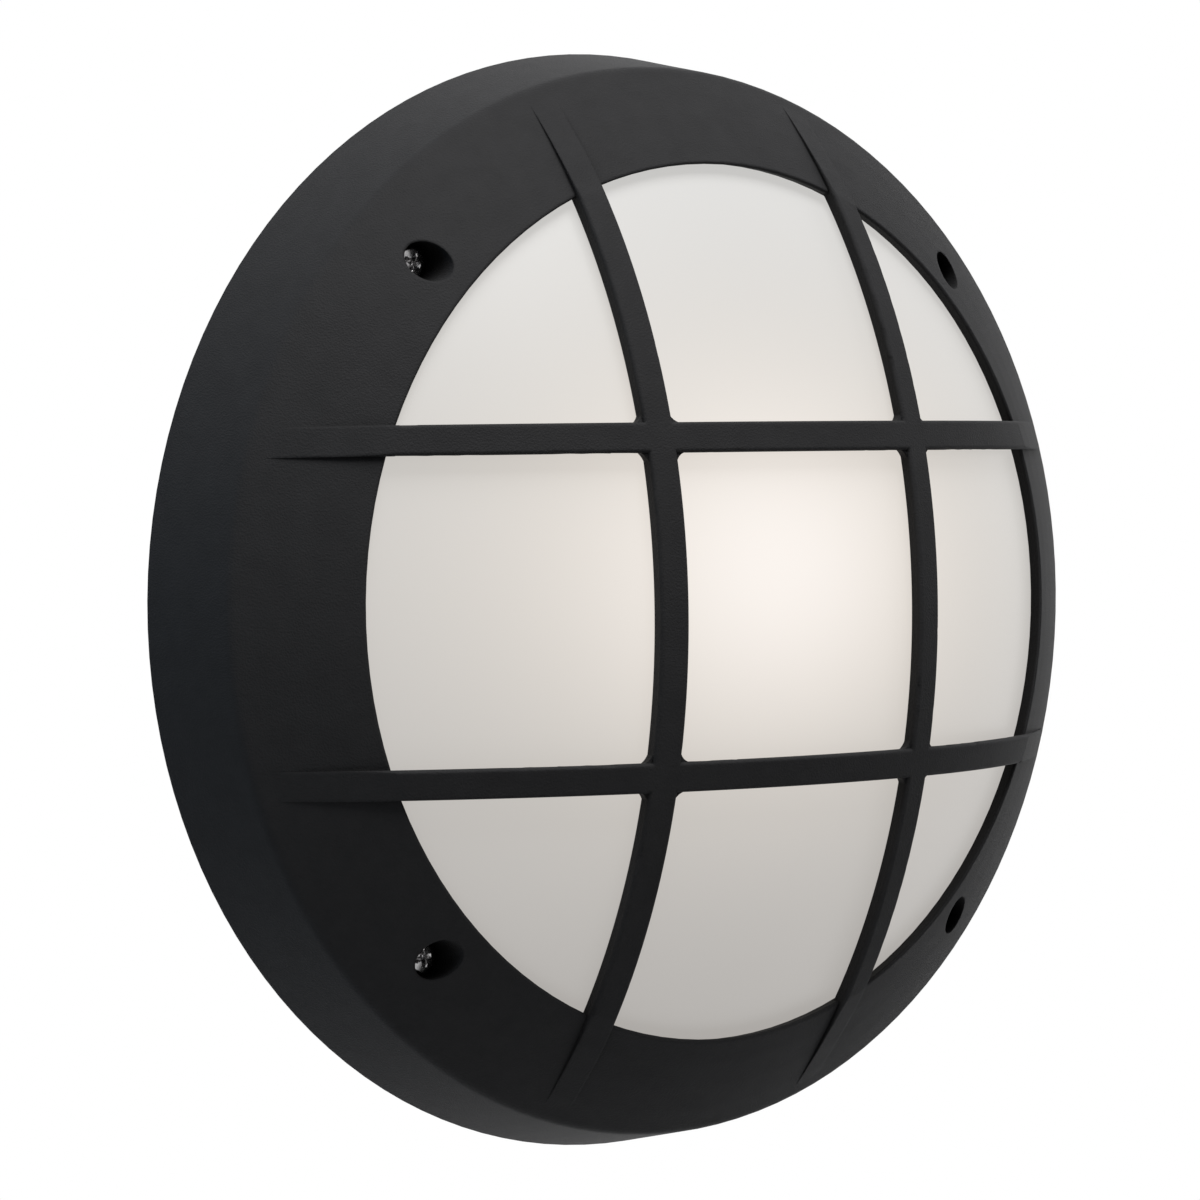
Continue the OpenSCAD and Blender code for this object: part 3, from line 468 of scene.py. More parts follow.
FINISHES: dict[Finish, MouldedPlastic | OpalPlastic | PlatedMetal | SoftSolid] = {
    Finish.GUARD: MouldedPlastic(
        colour=(0.0355, 0.0355, 0.037), roughness=0.5, specular=0.025, grain=0.45, grain_depth=0.09, edge=0.9
    ),
    # hollow sets how dark the painted shade in the housing's hollows is
    Finish.HOUSING: MouldedPlastic(
        colour=(0.036, 0.0362, 0.0375), roughness=0.42, specular=0.1, grain=0.8, grain_depth=0.03, hollow=0.3
    ),
    Finish.OPAL: OpalPlastic(
        # The bowl's own colour is kept dark; most of its brightness is painted glow
        colour=(0.16, 0.16, 0.16), roughness=0.45, specular=0.2,
        low=(0.4, 0.383, 0.364), high=(0.56, 0.558, 0.548),
        halo=(0.665, 0.613, 0.552), halo_size=(64.0, 43.0),
        core=(0.86, 0.806, 0.758), core_size=(31.0, 25.0), middle=(-8.0, 9.0)
    ),
    # The screws are a darker steel than stainless: painted shade for the deep wells that they sit in
    Finish.STAINLESS: PlatedMetal(
        colour=(0.52, 0.51, 0.51), shade=(0.24, 0.24, 0.245), roughness=0.22, unevenness=0.06, patch=2.0
    ),
    Finish.ZINC: PlatedMetal(
        colour=(0.68, 0.69, 0.71), shade=(0.55, 0.57, 0.6), roughness=0.34, unevenness=0.08, patch=6.0,
        drawn=(1.0, 1.0, 0.25)
    ),
    Finish.BRASS: PlatedMetal(
        colour=(0.78, 0.6, 0.28), shade=(0.66, 0.48, 0.2), roughness=0.27, unevenness=0.06, patch=5.0
    ),
    Finish.CAP: PlatedMetal(
        colour=(0.83, 0.83, 0.84), shade=(0.72, 0.72, 0.73), roughness=0.24, unevenness=0.06, patch=6.0
    ),
    Finish.SOLDER: PlatedMetal(
        colour=(0.6, 0.6, 0.61), shade=(0.46, 0.46, 0.47), roughness=0.4, unevenness=0.1, patch=2.0
    ),
    Finish.NYLON: SoftSolid(
        colour=(0.78, 0.76, 0.7), shade=(0.73, 0.71, 0.65), roughness=0.45, skin=0.7, skin_depth=0.006
    ),
    Finish.PORCELAIN: SoftSolid(
        colour=(0.82, 0.8, 0.75), shade=(0.78, 0.76, 0.71), roughness=0.22, skin=1.5, skin_depth=0.004,
        coat=0.4
    ),
    Finish.SEAL: SoftSolid(
        colour=(0.09, 0.092, 0.095), shade=(0.07, 0.072, 0.075), roughness=0.75, skin=0.5, skin_depth=0.02,
        specular=0.25
    ),
    Finish.GROMMET: SoftSolid(
        colour=(0.022, 0.022, 0.023), shade=(0.016, 0.016, 0.017), roughness=0.68, skin=0.6, skin_depth=0.02,
        specular=0.3
    ),
    Finish.BROWN: SoftSolid(
        colour=(0.17, 0.07, 0.028), shade=(0.14, 0.056, 0.022), roughness=0.36, skin=0.8, skin_depth=0.006
    ),
    Finish.BLUE: SoftSolid(
        colour=(0.03, 0.13, 0.4), shade=(0.024, 0.11, 0.35), roughness=0.36, skin=0.8, skin_depth=0.006
    ),
    Finish.LAMP: SoftSolid(
        colour=(0.93, 0.9, 0.84), shade=(0.9, 0.87, 0.81), roughness=0.3, skin=4.0, skin_depth=0.002,
        coat=0.3, glow=0.35
    ),
    Finish.INSULATOR: SoftSolid(
        colour=(0.012, 0.011, 0.014), shade=(0.009, 0.008, 0.01), roughness=0.12, skin=1.0, skin_depth=0.004,
        coat=0.5
    ),
}


@dataclass
class FinishShelf:
    """Hands out each finish's material, made once."""

    made: dict[Finish, bpy.types.Material] = field(default_factory=dict)

    def take(self, finish: Finish) -> bpy.types.Material:
        """Gives a finish's material.

        Args:
            finish: Which finish.

        Returns:
            Its material, made at the first call.
        """
        if finish not in self.made:
            self.made[finish] = FINISHES[finish].material(finish.value)
        return self.made[finish]

    def coat(self, piece: Piece, finish: Finish) -> None:
        """Puts one finish on a piece.

        Args:
            piece: The piece.
            finish: The finish that covers it.
        """
        piece.data.materials.clear()
        piece.data.materials.append(self.take(finish))
        LOG.info("%s: %s", piece.name, finish.value)

    def coat_nodes(self, finishes: dict[str, Finish]) -> None:
        """Puts finishes on nodes of the frame.

        Args:
            finishes: The finish of each node, by the node's name.
        """
        for node, finish in finishes.items():
            self.coat(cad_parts[node], finish)


def meshed(
    name: str,
    corners: Sequence[Sequence[float]],
    faces: Sequence[Sequence[int]],
    sharp_deg: float = SHARP_DEG,
) -> Piece:
    """Makes a smooth piece from corners and faces.

    Args:
        name: The piece's name.
        corners: Its corners, in metres.
        faces: The corners of each face, by number.
        sharp_deg: Edges that turn more than this stay sharp.

    Returns:
        The new piece, in the frame's place.
    """
    mesh = bpy.data.meshes.new(name)
    mesh.from_pydata(corners, [], faces)
    mesh.validate()
    mesh.polygons.foreach_set("use_smooth", [True] * len(mesh.polygons))
    mesh.set_sharp_from_angle(angle=math.radians(sharp_deg))
    piece = bpy.data.objects.new(name, mesh)
    bpy.context.scene.collection.objects.link(piece)
    return piece


def skinned(name: str, rings: Sequence[Ring], closed: bool = False) -> Piece:
    """Makes a solid or hollow piece from rings of points.

    Args:
        name: The piece's name.
        rings: Rings with as many points each, from one end to the other.
        closed: Whether the last ring joins the first, instead of a flat cap on both.

    Returns:
        The new piece, in the frame's place.
    """
    count, total = len(rings[0]), len(rings) * len(rings[0])
    rows = len(rings) if closed else len(rings) - 1
    faces = [
        tuple((k + up) * count % total + (i + on) % count for up, on in ((0, 0), (0, 1), (1, 1), (1, 0)))
        for k in range(rows)
        for i in range(count)
    ]
    if not closed:
        faces += [tuple(reversed(range(count))), tuple(range(total - count, total))]
    return meshed(name, [tuple(point) for ring in rings for point in ring], faces)


def joined_copy(name: str, node: str) -> Piece:
    """Copies a node's form into a new piece whose faces share their corners.

    Args:
        name: The new piece's name.
        node: The node to copy.

    Returns:
        The new piece, in the same place.
    """
    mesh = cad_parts[node].data
    places = [tuple(round(c, CORNER_DECIMALS) for c in corner.co) for corner in mesh.vertices]
    numbers = {place: number for number, place in enumerate(dict.fromkeys(places))}
    faces = [tuple(numbers[places[corner]] for corner in face.vertices) for face in mesh.polygons]
    whole = [face for face in faces if len(set(face)) == len(face)]
    return meshed(name, list(numbers), whole, COPY_SHARP_DEG)


def turned_rings(profile: Sequence[Pair], sides: int, stand: Matrix) -> list[Ring]:
    """Gives the rings of a turned form.

    Args:
        profile: Radius and height of each ring.
        sides: Points round each ring.
        stand: Where the form's own axis stands in the frame.

    Returns:
        The rings, in the frame.
    """
    return [ring_at(height, sides, stand, plain_round(r)) for r, height in profile]


def plain_round(radius: float) -> Radius:
    """Gives a radius that stays the same all round."""
    return lambda share, height: radius


def wavy_rings(heights: Sequence[float], sides: int, stand: Matrix, radius: Radius) -> list[Ring]:
    """Gives the rings of a form that changes its radius on the way round, such as a thread.

    Args:
        heights: Height of each ring.
        sides: Points round each ring.
        stand: Where the form's own axis stands in the frame.
        radius: The form's radius.

    Returns:
        The rings, in the frame.
    """
    return [ring_at(height, sides, stand, radius) for height in heights]


def ring_at(height: float, sides: int, stand: Matrix, radius: Radius) -> Ring:
    """Gives one ring of a turned form.

    Args:
        height: The ring's height along the form's own axis.
        sides: Points round the ring.
        stand: Where that axis stands in the frame.
        radius: The form's radius.

    Returns:
        The ring, in the frame.
    """
    ring = []
    for share in (i / sides for i in range(sides)):
        r, turn = radius(share, height), FULL_TURN * share
        ring.append(stand @ Vector((r * math.cos(turn) * MM, r * math.sin(turn) * MM, height * MM)))
    return ring


def steps(start: float, end: float, count: int) -> list[float]:
    """Gives evenly spaced values, both ends among them.

    Args:
        start: The first value.
        end: The last value.
        count: How many steps lie between.

    Returns:
        The values.
    """
    return [start + (end - start) * i / count for i in range(count + 1)]


def smooth_path(points: Sequence[Vector], parts: int) -> list[Vector]:
    """Rounds a route through given points.

    Args:
        points: The route's points.
        parts: How many steps each stretch gets.

    Returns:
        Points on a smooth curve through all of them.
    """
    last = len(points) - 1
    path = []
    for i in range(last):
        a, b, c, d = points[max(i - 1, 0)], points[i], points[i + 1], points[min(i + 2, last)]
        for k in range(parts):
            t = k / parts
            bend = (2 * a - 5 * b + 4 * c - d) * t * t + (3 * b - a - 3 * c + d) * t * t * t
            path.append(0.5 * (2 * b + (c - a) * t + bend))
    path.append(points[last])
    return path


def tube_rings(path: Sequence[Vector], radius: float, sides: int) -> list[Ring]:
    """Gives the rings of a round tube along a path.

    Args:
        path: The tube's middle line, in metres.
        radius: The tube's radius.
        sides: Points round the tube.

    Returns:
        The rings, in the frame.
    """
    rings = []
    turns = [FULL_TURN * k / sides for k in range(sides)]
    side = FIRST_SIDE
    for i, point in enumerate(path):
        way = (path[min(i + 1, len(path) - 1)] - path[max(i - 1, 0)]).normalized()
        side = (side - way * side.dot(way)).normalized()
        other = way.cross(side)
        rings.append([point + radius * MM * (math.cos(t) * side + math.sin(t) * other) for t in turns])
    return rings


@dataclass
class FrontCover:
    """The guard with its bars, the opal bowl, the cover screws and their washers."""

    head_d: float = 8.0
    head_h: float = 3.0
    head_crown: float = 0.5
    shank_d: float = 4.0
    pitch: float = 0.7
    thread_depth: float = 0.42
    plain_l: float = 3.0
    thread_end: float = 0.1
    foot_break: float = 0.2
    shoulder_r: float = 1.2
    shoulder_h: float = 0.9
    shoulder_deg: float = 72.0
    shoulder_crown: float = 0.35
    recess_l: float = 4.8
    recess_w: float = 0.95
    recess_depth: float = 1.7
    recess_wall: float = 0.16
    recess_ramp: float = 0.28
    middle_r: float = 0.04
    turn_step_rad: float = 0.6
    sides: int = 48
    rows_per_pitch: int = 6
    shoulder_rows: int = 8
    top_rows: int = 26

    def build(self) -> list[Piece]:
        """Makes the four cover screws with their threads and cross recesses.

        Returns:
            The screws, one piece each.
        """
        low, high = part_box("cover_screws")
        reach = high.x / MM - self.head_d / 2
        seat = low.y / MM + self.head_h
        length = high.y / MM - seat
        pieces = []
        forwards = Matrix.Rotation(math.radians(90), 4, "X")
        for number, (x, z) in enumerate(((1, 1), (-1, 1), (-1, -1), (1, -1)), start=1):
            stand = Matrix.Translation((x * reach * MM, seat * MM, z * reach * MM))
            turn = Matrix.Rotation(self.turn_step_rad * number, 4, "Z")
            piece = skinned(f"cover_screw_{number}", self.screw_rings(length, stand @ forwards @ turn))
            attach(piece, Body.COVER.value)
            pieces.append(piece)
        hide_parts("cover_screws")
        return pieces

    def build_bowl(self) -> Piece:
        """Makes the bowl from its node's own form, with its corners joined so that the dome shades evenly.

        Returns:
            The bowl.
        """
        bowl = joined_copy("opal_bowl", "diffuser_bowl")
        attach(bowl, Body.COVER.value)
        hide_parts("diffuser_bowl")
        return bowl

    def screw_rings(self, length: float, stand: Matrix) -> list[Ring]:
        """Gives the rings of one screw, from its tip to the middle of its recess.

        Args:
            length: Length under the head.
            stand: Where the screw's seat is, with the head upwards.

        Returns:
            The rings, in the frame.
        """
        shank_r = self.shank_d / 2
        head_r = self.head_d / 2
        rows = round((length - self.plain_l) / self.pitch * self.rows_per_pitch)
        rings = wavy_rings(steps(-length, -self.plain_l, rows), self.sides, stand, self.thread_radius)
        side = [
            (shank_r, -self.plain_l + self.thread_end), (shank_r, 0.0),
            (head_r - self.foot_break, 0.0), (head_r, self.foot_break),
        ]
        corner = self.head_h - self.head_crown - self.shoulder_h
        rise = self.head_h - self.head_crown * self.shoulder_crown - corner
        arc = [
            (head_r - self.shoulder_r * (1 - math.cos(a)), corner + rise * math.sin(a))
            for a in steps(0.0, math.radians(self.shoulder_deg), self.shoulder_rows)
        ]
        rings += turned_rings(side + arc, self.sides, stand)
        edge_r, edge_h = arc[-1]
        for r in steps(edge_r, self.middle_r, self.top_rows)[1:]:
            top = self.head_h - (self.head_h - edge_h) * (r / edge_r) ** 2
            ring = []
            for i in range(self.sides):
                turn = FULL_TURN * i / self.sides
                x, y = r * math.cos(turn), r * math.sin(turn)
                ring.append(stand @ (Vector((x, y, top - self.recess(x, y))) * MM))
            rings.append(ring)
        return rings

    def thread_radius(self, share: float, height: float) -> float:
        """Gives the radius of the thread.

        Args:
            share: Share of a turn.
            height: Height along the screw.

        Returns:
            The radius at that point.
        """
        wave = abs(((height / self.pitch - share) % 1.0) * 2.0 - 1.0)
        return self.shank_d / 2 - self.thread_depth * wave

    def recess(self, x: float, y: float) -> float:
        """Gives the depth of the cross recess.

        Args:
            x: Place across the head.
            y: Place along the head.

        Returns:
            How deep the recess is there.
        """
        long, short = max(abs(x), abs(y)), min(abs(x), abs(y))
        wall = min(max((self.recess_w / 2 - short) / self.recess_wall + 0.5, 0.0), 1.0)
        slope = min(max((self.recess_l / 2 - long) / (self.recess_l * self.recess_ramp), 0.0), 1.0)
        return self.recess_depth * wall * slope

    def dress(self, shelf: FinishShelf, screws: Sequence[Piece], bowl: Piece) -> None:
        """Puts the finishes on the cover.

        Args:
            shelf: Where the finishes come from.
            screws: The cover screws.
            bowl: The opal bowl.
        """
        shelf.coat_nodes({"front_guard": Finish.GUARD, "captive_washers": Finish.NYLON})
        shelf.coat(bowl, Finish.OPAL)
        for screw in screws:
            shelf.coat(screw, Finish.STAINLESS)


@dataclass
class RearHousing:
    """The moulded housing with its seal, inserts and cable grommet."""

    def dress(self, shelf: FinishShelf) -> None:
        """Puts the finishes on the housing's nodes.

        Args:
            shelf: Where the finishes come from.
        """
        shelf.coat_nodes({
            "rear_housing": Finish.HOUSING,
            "seal_ring": Finish.SEAL,
            "screw_inserts": Finish.BRASS,
            "cable_grommet": Finish.GROMMET,
        })


@dataclass
class LampholderSet:
    """The lampholder on its folded bracket, with a rolled screw shell."""

    pitch: float = 3.62
    wave: float = 0.22
    run_out: float = 1.5
    sheet: float = 0.3
    sides: int = 96
    rows: int = 90

    def build(self) -> Piece:
        """Makes the rolled screw shell.

        Returns:
            The shell.
        """
        low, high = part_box("lampholder_shell")
        middle = (low + high) / 2
        stand = Matrix.Translation((middle.x, middle.y, low.z))
        length = (high.z - low.z) / MM
        mean = (high.x - low.x) / 2 / MM - self.wave - self.sheet / 2
        heights = steps(0.0, length, self.rows)
        outside = wavy_rings(heights, self.sides, stand, self.roll(mean + self.sheet / 2, length))
        inside = wavy_rings(heights[::-1], self.sides, stand, self.roll(mean - self.sheet / 2, length))
        piece = skinned("lampholder_rolled_shell", inside + outside, closed=True)
        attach(piece, Body.HOUSING.value)
        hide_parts("lampholder_shell")
        return piece

    def roll(self, mean: float, length: float) -> Radius:
        """Gives the rolled thread's radius as a function.

        Args:
            mean: The mean radius.
            length: Length of the shell; the thread runs out at both ends.

        Returns:
            A function of the share of a turn and the height.
        """
        def radius(share: float, height: float) -> float:
            """Gives the radius at a share of a turn and a height."""
            fade = min(height, length - height, self.run_out) / self.run_out
            return mean + self.wave * fade * math.cos(FULL_TURN * (height / self.pitch - share))
        return radius

    def dress(self, shelf: FinishShelf, shell: Piece) -> None:
        """Puts the finishes on the lampholder.

        Args:
            shelf: Where the finishes come from.
            shell: The rolled screw shell.
        """
        shelf.coat_nodes({
            "lampholder_bracket": Finish.ZINC,
            "bracket_screws": Finish.ZINC,
            "lampholder_body": Finish.PORCELAIN,
            "lampholder_contact": Finish.BRASS,
            "lampholder_terminals": Finish.BRASS,
            "lampholder_screws": Finish.ZINC,
        })
        shelf.coat(shell, Finish.BRASS)


@dataclass
class Wiring:
    """The terminal block and the two leads to the lampholder."""

    lead_d: float = 2.4
    tube_bite: float = 4.0
    tube_exit: float = 10.0
    cage_bite: float = 3.0
    sides: int = 16
    parts: int = 8

    def routes(self) -> dict[str, list[Vector]]:
        """Gives the leads' routes from the terminal block to the lampholder.

        Returns:
            Each lead's points, in metres.
        """
        low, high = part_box("terminal_tubes")
        tube_r = (high.y - low.y) / 2 / MM
        near, away = low.x / MM + tube_r, high.x / MM - tube_r
        tube_h = -(low.y + high.y) / 2 / MM
        block_z = (low.z + high.z) / 2 / MM
        cage_low, cage_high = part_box("lampholder_terminals")
        lamp_h = -(cage_low.y + cage_high.y) / 2 / MM
        cage_z = (cage_low.z + cage_high.z) / 2 / MM
        cage_x = cage_high.x / MM - self.cage_bite
        start_z, exit_z = block_z - self.tube_bite, block_z - self.tube_exit
        # Each point's place across, its place upwards and its distance from the wall
        live = [
            (near, start_z, tube_h), (near, exit_z, tube_h), (45, -57, tube_h + 1), (38, -66, 20),
            (30, -71, 29), (25, -73, 35.5),
            (21.5, cage_z, lamp_h), (18.5, cage_z, lamp_h), (cage_x, cage_z, lamp_h),
        ]
        neutral = [
            (away, start_z, tube_h), (away, exit_z, tube_h), (54, -60, 11), (42, -65, 10), (24, -66, 9.5),
            (0, -66, 9.5), (-20, -67, 11), (-30, -70, 19), (-30, -72, 29), (-25.5, -73, 35.5),
            (-21.5, cage_z, lamp_h), (-18.5, cage_z, lamp_h), (-cage_x, cage_z, lamp_h),
        ]
        return {
            "lead_live": [Vector((x, -h, z)) * MM for x, z, h in live],
            "lead_neutral": [Vector((x, -h, z)) * MM for x, z, h in neutral],
        }

    def build(self) -> dict[str, Piece]:
        """Makes the two leads as smooth round wires.

        Returns:
            Each lead by the name of the node that it stands for.
        """
        pieces = {}
        for node, points in self.routes().items():
            path = smooth_path(points, self.parts)
            piece = skinned(f"{node}_wire", tube_rings(path, self.lead_d / 2, self.sides))
            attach(piece, Body.HOUSING.value)
            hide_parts(node)
            pieces[node] = piece
        return pieces

    def dress(self, shelf: FinishShelf, leads: dict[str, Piece]) -> None:
        """Puts the finishes on the wiring.

        Args:
            shelf: Where the finishes come from.
            leads: The leads by node name.
        """
        shelf.coat_nodes({
            "terminal_block": Finish.NYLON,
            "terminal_tubes": Finish.BRASS,
            "terminal_screws": Finish.ZINC,
            "terminal_block_screw": Finish.ZINC,
        })
        shelf.coat(leads["lead_live"], Finish.BROWN)
        shelf.coat(leads["lead_neutral"], Finish.BLUE)


@dataclass
class Lamp:
    """The screw-cap lamp: opal globe, rolled cap, black insulator and solder tip.

    The profiles are pairs of a radius and a height above the tip. The seat's pairs count from the neck's
    radius and the cap's end, and the rim's pairs from the cap's outer radius and its end.
    """

    cap_d: float = 26.0
    cap_l: float = 26.0
    pitch: float = 3.62
    wave: float = 0.5
    run_out: float = 2.0
    thread_from: float = 8.0
    thread_to: float = 23.0
    neck_l: float = 4.0
    neck_gap: float = 0.3
    neck_flare: float = 1.6
    join_share: float = 0.55
    crown_r: float = 0.02
    tip: tuple[Pair, ...] = ((0.05, 0.0), (2.6, 0.05), (4.0, 0.5), (4.5, 1.2), (4.5, 2.1), (0.05, 2.2))
    glass: tuple[Pair, ...] = ((0.05, 1.5), (5.2, 1.6), (7.4, 2.6), (9.5, 3.8), (10.2, 4.6), (0.05, 4.8))
    foot: tuple[Pair, ...] = ((9.2, 4.0), (9.9, 4.2), (11.2, 5.6), (12.5, 7.4))
    rim: tuple[Pair, ...] = ((-0.5, -2.7), (-0.1, -2.1), (0.0, -1.4), (0.0, -0.2), (-0.25, 0.0), (-1.0, 0.0))
    seat: tuple[Pair, ...] = ((-0.6, -0.8), (-0.2, 1.0))
    sides: int = 96
    thread_rows: int = 80
    neck_rows: int = 14
    ball_rows: int = 40

    def build(self) -> dict[Finish, Piece]:
        """Makes the lamp's pieces.

        Returns:
            Each piece by the finish that it takes.
        """
        low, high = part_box("lamp")
        middle = (low + high) / 2
        stand = Matrix.Translation((middle.x, middle.y, low.z))
        globe_r = (high.x - low.x) / 2 / MM
        length = (high.z - low.z) / MM
        pieces = {
            Finish.LAMP: skinned("lamp_globe", turned_rings(self.globe(globe_r, length), self.sides, stand)),
            Finish.CAP: skinned("lamp_cap", self.cap_rings(stand)),
            Finish.INSULATOR: skinned("lamp_insulator", turned_rings(self.glass, self.sides, stand)),
            Finish.SOLDER: skinned("lamp_contact", turned_rings(self.tip, self.sides, stand)),
        }
        for piece in pieces.values():
            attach(piece, Body.LAMP.value)
        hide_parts("lamp")
        return pieces

    def globe(self, globe_r: float, length: float) -> list[Pair]:
        """Gives the profile of neck and globe.

        Args:
            globe_r: The globe's radius.
            length: The lamp's whole length.

        Returns:
            Radius and height of each ring, from the cap to the crown.
        """
        mid = length - globe_r
        neck_r = self.cap_d / 2 - self.neck_gap
        start = self.cap_l + self.neck_l
        end = mid - globe_r * self.join_share
        join_r = math.sqrt(globe_r ** 2 - (mid - end) ** 2)
        seat = [(neck_r + out, self.cap_l + up) for out, up in self.seat]
        neck = [
            (neck_r + (join_r - neck_r) * t ** self.neck_flare, start + (end - start) * t)
            for t in steps(0.0, 1.0, self.neck_rows)
        ]
        first = math.asin((end - mid) / globe_r)
        ball = [
            (max(globe_r * math.cos(a), self.crown_r), mid + globe_r * math.sin(a))
            for a in steps(first, math.pi / 2, self.ball_rows)[1:]
        ]
        return seat + neck + ball

    def cap_rings(self, stand: Matrix) -> list[Ring]:
        """Gives the rings of the rolled cap.

        Args:
            stand: Where the lamp's tip is.

        Returns:
            The rings, in the frame.
        """
        rows = steps(self.thread_from, self.thread_to, self.thread_rows)
        rim = [(self.cap_d / 2 + out, self.cap_l + up) for out, up in self.rim]
        rings = turned_rings(self.foot, self.sides, stand)
        rings += wavy_rings(rows, self.sides, stand, self.thread_radius)
        return rings + turned_rings(rim, self.sides, stand)

    def thread_radius(self, share: float, height: float) -> float:
        """Gives the radius of the rolled thread.

        Args:
            share: Share of a turn.
            height: Height above the lamp's tip.

        Returns:
            The radius at that point.
        """
        fade = min(height - self.thread_from, self.thread_to - height, self.run_out) / self.run_out
        swing = math.cos(FULL_TURN * (height / self.pitch - share))
        return self.cap_d / 2 - self.wave + self.wave * fade * swing

    def dress(self, shelf: FinishShelf, pieces: dict[Finish, Piece]) -> None:
        """Puts each piece's finish on it.

        Args:
            shelf: Where the finishes come from.
            pieces: The lamp's pieces by finish.
        """
        for finish, piece in pieces.items():
            shelf.coat(piece, finish)


@dataclass(frozen=True)
class Softbox:
    """One soft square studio lamp; its place and size are metres."""

    name: str
    place: tuple[float, float, float]
    size: float
    watts: float
    colour: Colour = (1.0, 1.0, 1.0)

    def light(self) -> Piece:
        """Makes the lamp, aimed at the middle of the light.

        Returns:
            The lamp.
        """
        data = bpy.data.lights.new(self.name, "AREA")
        data.shape = "SQUARE"
        data.size = self.size
        data.energy = self.watts
        data.color = self.colour
        lamp = bpy.data.objects.new(self.name, data)
        lamp.location = self.place
        lamp.rotation_euler = (-Vector(self.place)).to_track_quat("-Z", "Y").to_euler()
        bpy.context.scene.collection.objects.link(lamp)
        return lamp


def seen_share(tree: bpy.types.NodeTree) -> Socket:
    """Tells what is looked at from what only lights the object.

    Args:
        tree: The node tree to add this to.

    Returns:
        1 for what the camera sees by itself, in gloss or through glass, and 0 for diffuse light.
    """
    path = tree.nodes.new("ShaderNodeLightPath")
    seen = path.outputs["Is Camera Ray"]
    for ray in ("Is Glossy Ray", "Is Transmission Ray"):
        either = tree.nodes.new("ShaderNodeMath")
        either.operation = "MAXIMUM"
        tree.links.new(seen, either.inputs[0])
        tree.links.new(path.outputs[ray], either.inputs[1])
        seen = either.outputs[0]
    return seen


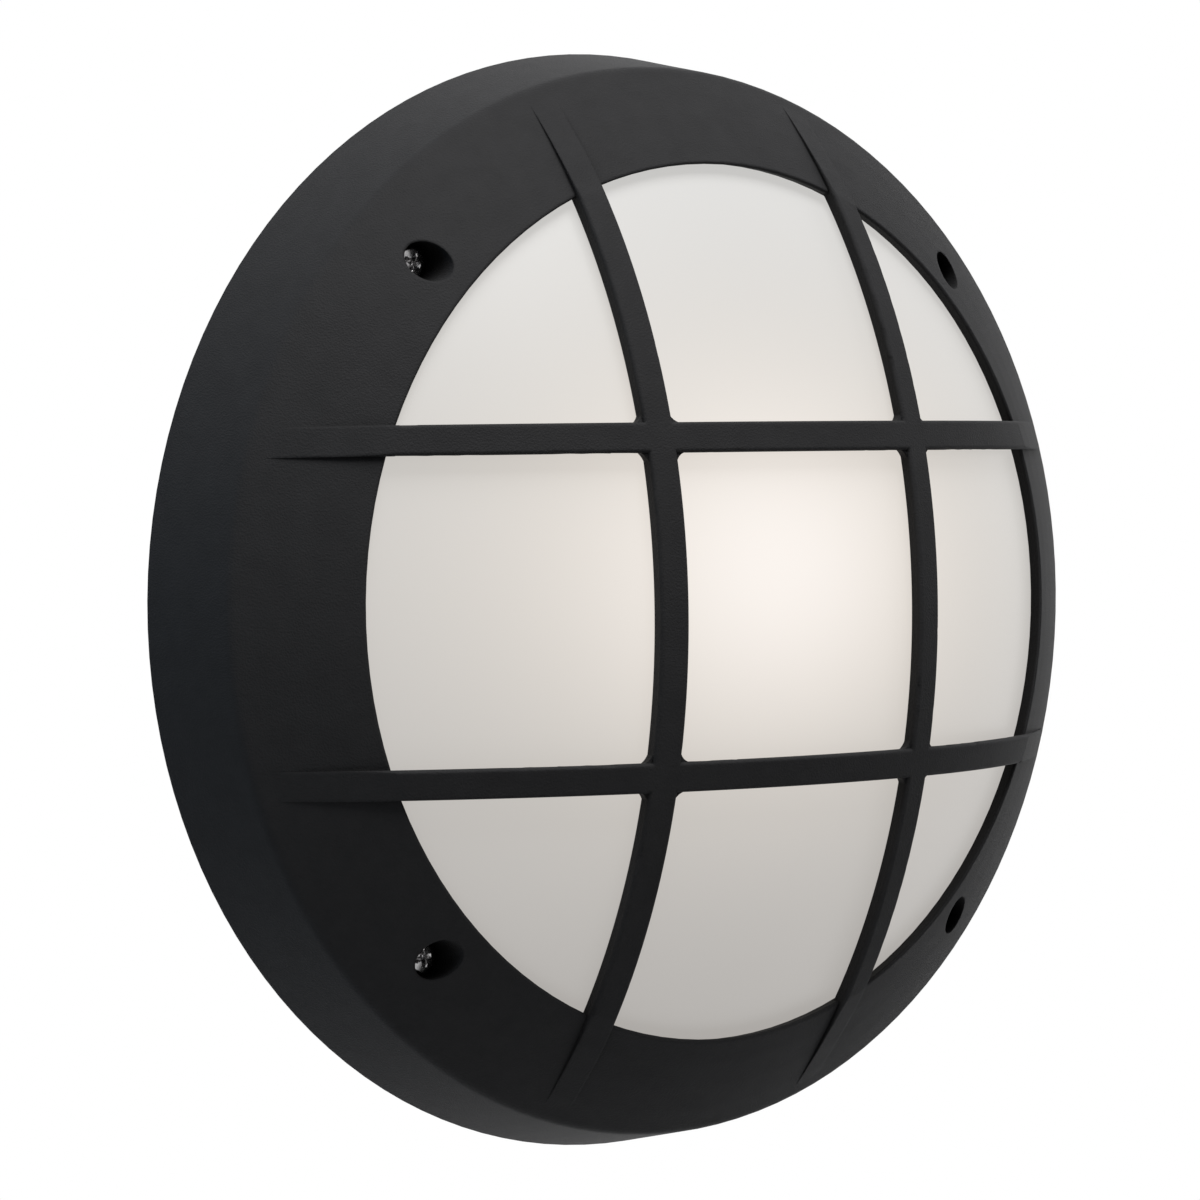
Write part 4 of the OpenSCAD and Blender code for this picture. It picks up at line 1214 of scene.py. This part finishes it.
@dataclass
class Studio:
    """Floor, soft light, white surroundings and the camera; its sizes are metres."""

    ambient: float = 0.07
    floor_z: float = -0.75
    floor_r: float = 0.8
    floor_colour: Colour = (0.82, 0.82, 0.82)
    floor_roughness: float = 0.9
    floor_specular: float = 0.1
    floor_glow: float = 0.5
    floor_fade_from: float = 0.4
    floor_sides: int = 96
    softboxes: tuple[Softbox, ...] = (
        Softbox("key_softbox", place=(-0.16, -0.64, 1.46), size=1.2, watts=30.0, colour=(1.0, 0.995, 0.985)),
        Softbox("left_softbox", place=(-1.4, 0.65, 0.2), size=0.8, watts=3.2, colour=(0.4, 0.7, 1.0)),
        Softbox("back_softbox", place=(0.3, 1.6, 0.05), size=0.9, watts=18.0),
    )
    azimuth_deg: float = -38.54
    elevation_deg: float = 1.41
    roll_deg: float = -0.81
    distance: float = 1.28567
    aim_y: float = 0.00041
    focal_px: float = 5180.83
    image_px: float = 1200.0
    sensor: float = 36.0

    def build(self) -> None:
        """Makes floor, lamps, surroundings and camera."""
        self.lay_floor()
        for softbox in self.softboxes:
            softbox.light()
        self.light_surroundings()
        self.aim_camera()
        bpy.context.scene.view_settings.view_transform = "Standard"

    def lay_floor(self) -> None:
        """Lays a pale round floor that fades into the white surroundings."""
        turns = [FULL_TURN * i / self.floor_sides for i in range(self.floor_sides)]
        rim = [(self.floor_r * math.cos(t), self.floor_r * math.sin(t), self.floor_z) for t in turns]
        mesh = bpy.data.meshes.new("floor")
        mesh.from_pydata(rim, [], [tuple(range(self.floor_sides))])
        floor = bpy.data.objects.new("floor", mesh)
        bpy.context.scene.collection.objects.link(floor)
        shader = Shader("pale_floor")
        spot = shader.node("ShaderNodeTexCoord", {}).outputs["Object"]
        ends = {0: spot, 1: (0.0, 0.0, self.floor_z)}
        far = shader.node("ShaderNodeVectorMath", ends, operation="DISTANCE").outputs["Value"]
        edge = {
            "Value": far, "From Min": self.floor_r * self.floor_fade_from, "From Max": self.floor_r,
            "To Min": self.floor_glow,
        }
        fade = shader.node("ShaderNodeMapRange", edge, interpolation_type="SMOOTHSTEP").outputs[0]
        shader.fill(shader.surface, {
            "Base Color": self.floor_colour,
            "Roughness": self.floor_roughness,
            "Specular IOR Level": self.floor_specular,
        })
        white = shader.node("ShaderNodeEmission", {"Color": (1.0, 1.0, 1.0), "Strength": 1.0}).outputs[0]
        shown = shader.math("MULTIPLY", fade, seen_share(shader.tree))
        mixed = shader.node("ShaderNodeMixShader", {0: shown, 1: shader.surface.outputs[0], 2: white})
        shader.fill(shader.tree.nodes["Material Output"], {"Surface": mixed.outputs[0]})
        mesh.materials.append(shader.material)

    def light_surroundings(self) -> None:
        """Gives the object soft light from all round, on a background that shows white."""
        world = bpy.data.worlds.new("white_surroundings")
        bpy.context.scene.world = world
        world.use_nodes = True
        tree = world.node_tree
        soft = tree.nodes["Background"]
        soft.inputs["Color"].default_value = (1.0, 1.0, 1.0, 1.0)
        soft.inputs["Strength"].default_value = self.ambient
        white = tree.nodes.new("ShaderNodeBackground")
        white.inputs["Color"].default_value = (1.0, 1.0, 1.0, 1.0)
        white.inputs["Strength"].default_value = 1.0
        mixed = tree.nodes.new("ShaderNodeMixShader")
        tree.links.new(seen_share(tree), mixed.inputs[0])
        tree.links.new(soft.outputs[0], mixed.inputs[1])
        tree.links.new(white.outputs[0], mixed.inputs[2])
        tree.links.new(mixed.outputs[0], tree.nodes["World Output"].inputs["Surface"])

    def aim_camera(self) -> None:
        """Sets the camera where the photograph was taken from."""
        turn, lift = math.radians(self.azimuth_deg), math.radians(self.elevation_deg)
        back = Vector((math.sin(turn) * math.cos(lift), -math.cos(turn) * math.cos(lift), math.sin(lift)))
        right = Vector((0.0, 0.0, 1.0)).cross(back).normalized()
        axes = Matrix((right, back.cross(right), back)).transposed().to_4x4()
        data = bpy.data.cameras.new("camera")
        data.sensor_width = self.sensor
        data.lens = self.focal_px / self.image_px * self.sensor
        camera = bpy.data.objects.new("camera", data)
        aim = Vector((0.0, self.aim_y, 0.0))
        roll = Matrix.Rotation(math.radians(self.roll_deg), 4, "Z")
        camera.matrix_world = Matrix.Translation(aim + back * self.distance) @ axes @ roll
        bpy.context.scene.collection.objects.link(camera)
        bpy.context.scene.camera = camera


def main() -> None:
    """Builds and dresses the light, piece by piece, and sets up the studio."""
    logging.basicConfig(level=logging.INFO, format="%(name)s: %(message)s")
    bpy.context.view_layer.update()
    shelf = FinishShelf()
    Studio().build()
    cover = FrontCover()
    cover.dress(shelf, cover.build(), cover.build_bowl())
    RearHousing().dress(shelf)
    holder = LampholderSet()
    holder.dress(shelf, holder.build())
    wiring = Wiring()
    wiring.dress(shelf, wiring.build())
    lamp = Lamp()
    lamp.dress(shelf, lamp.build())


if __name__ == "__main__":
    main()
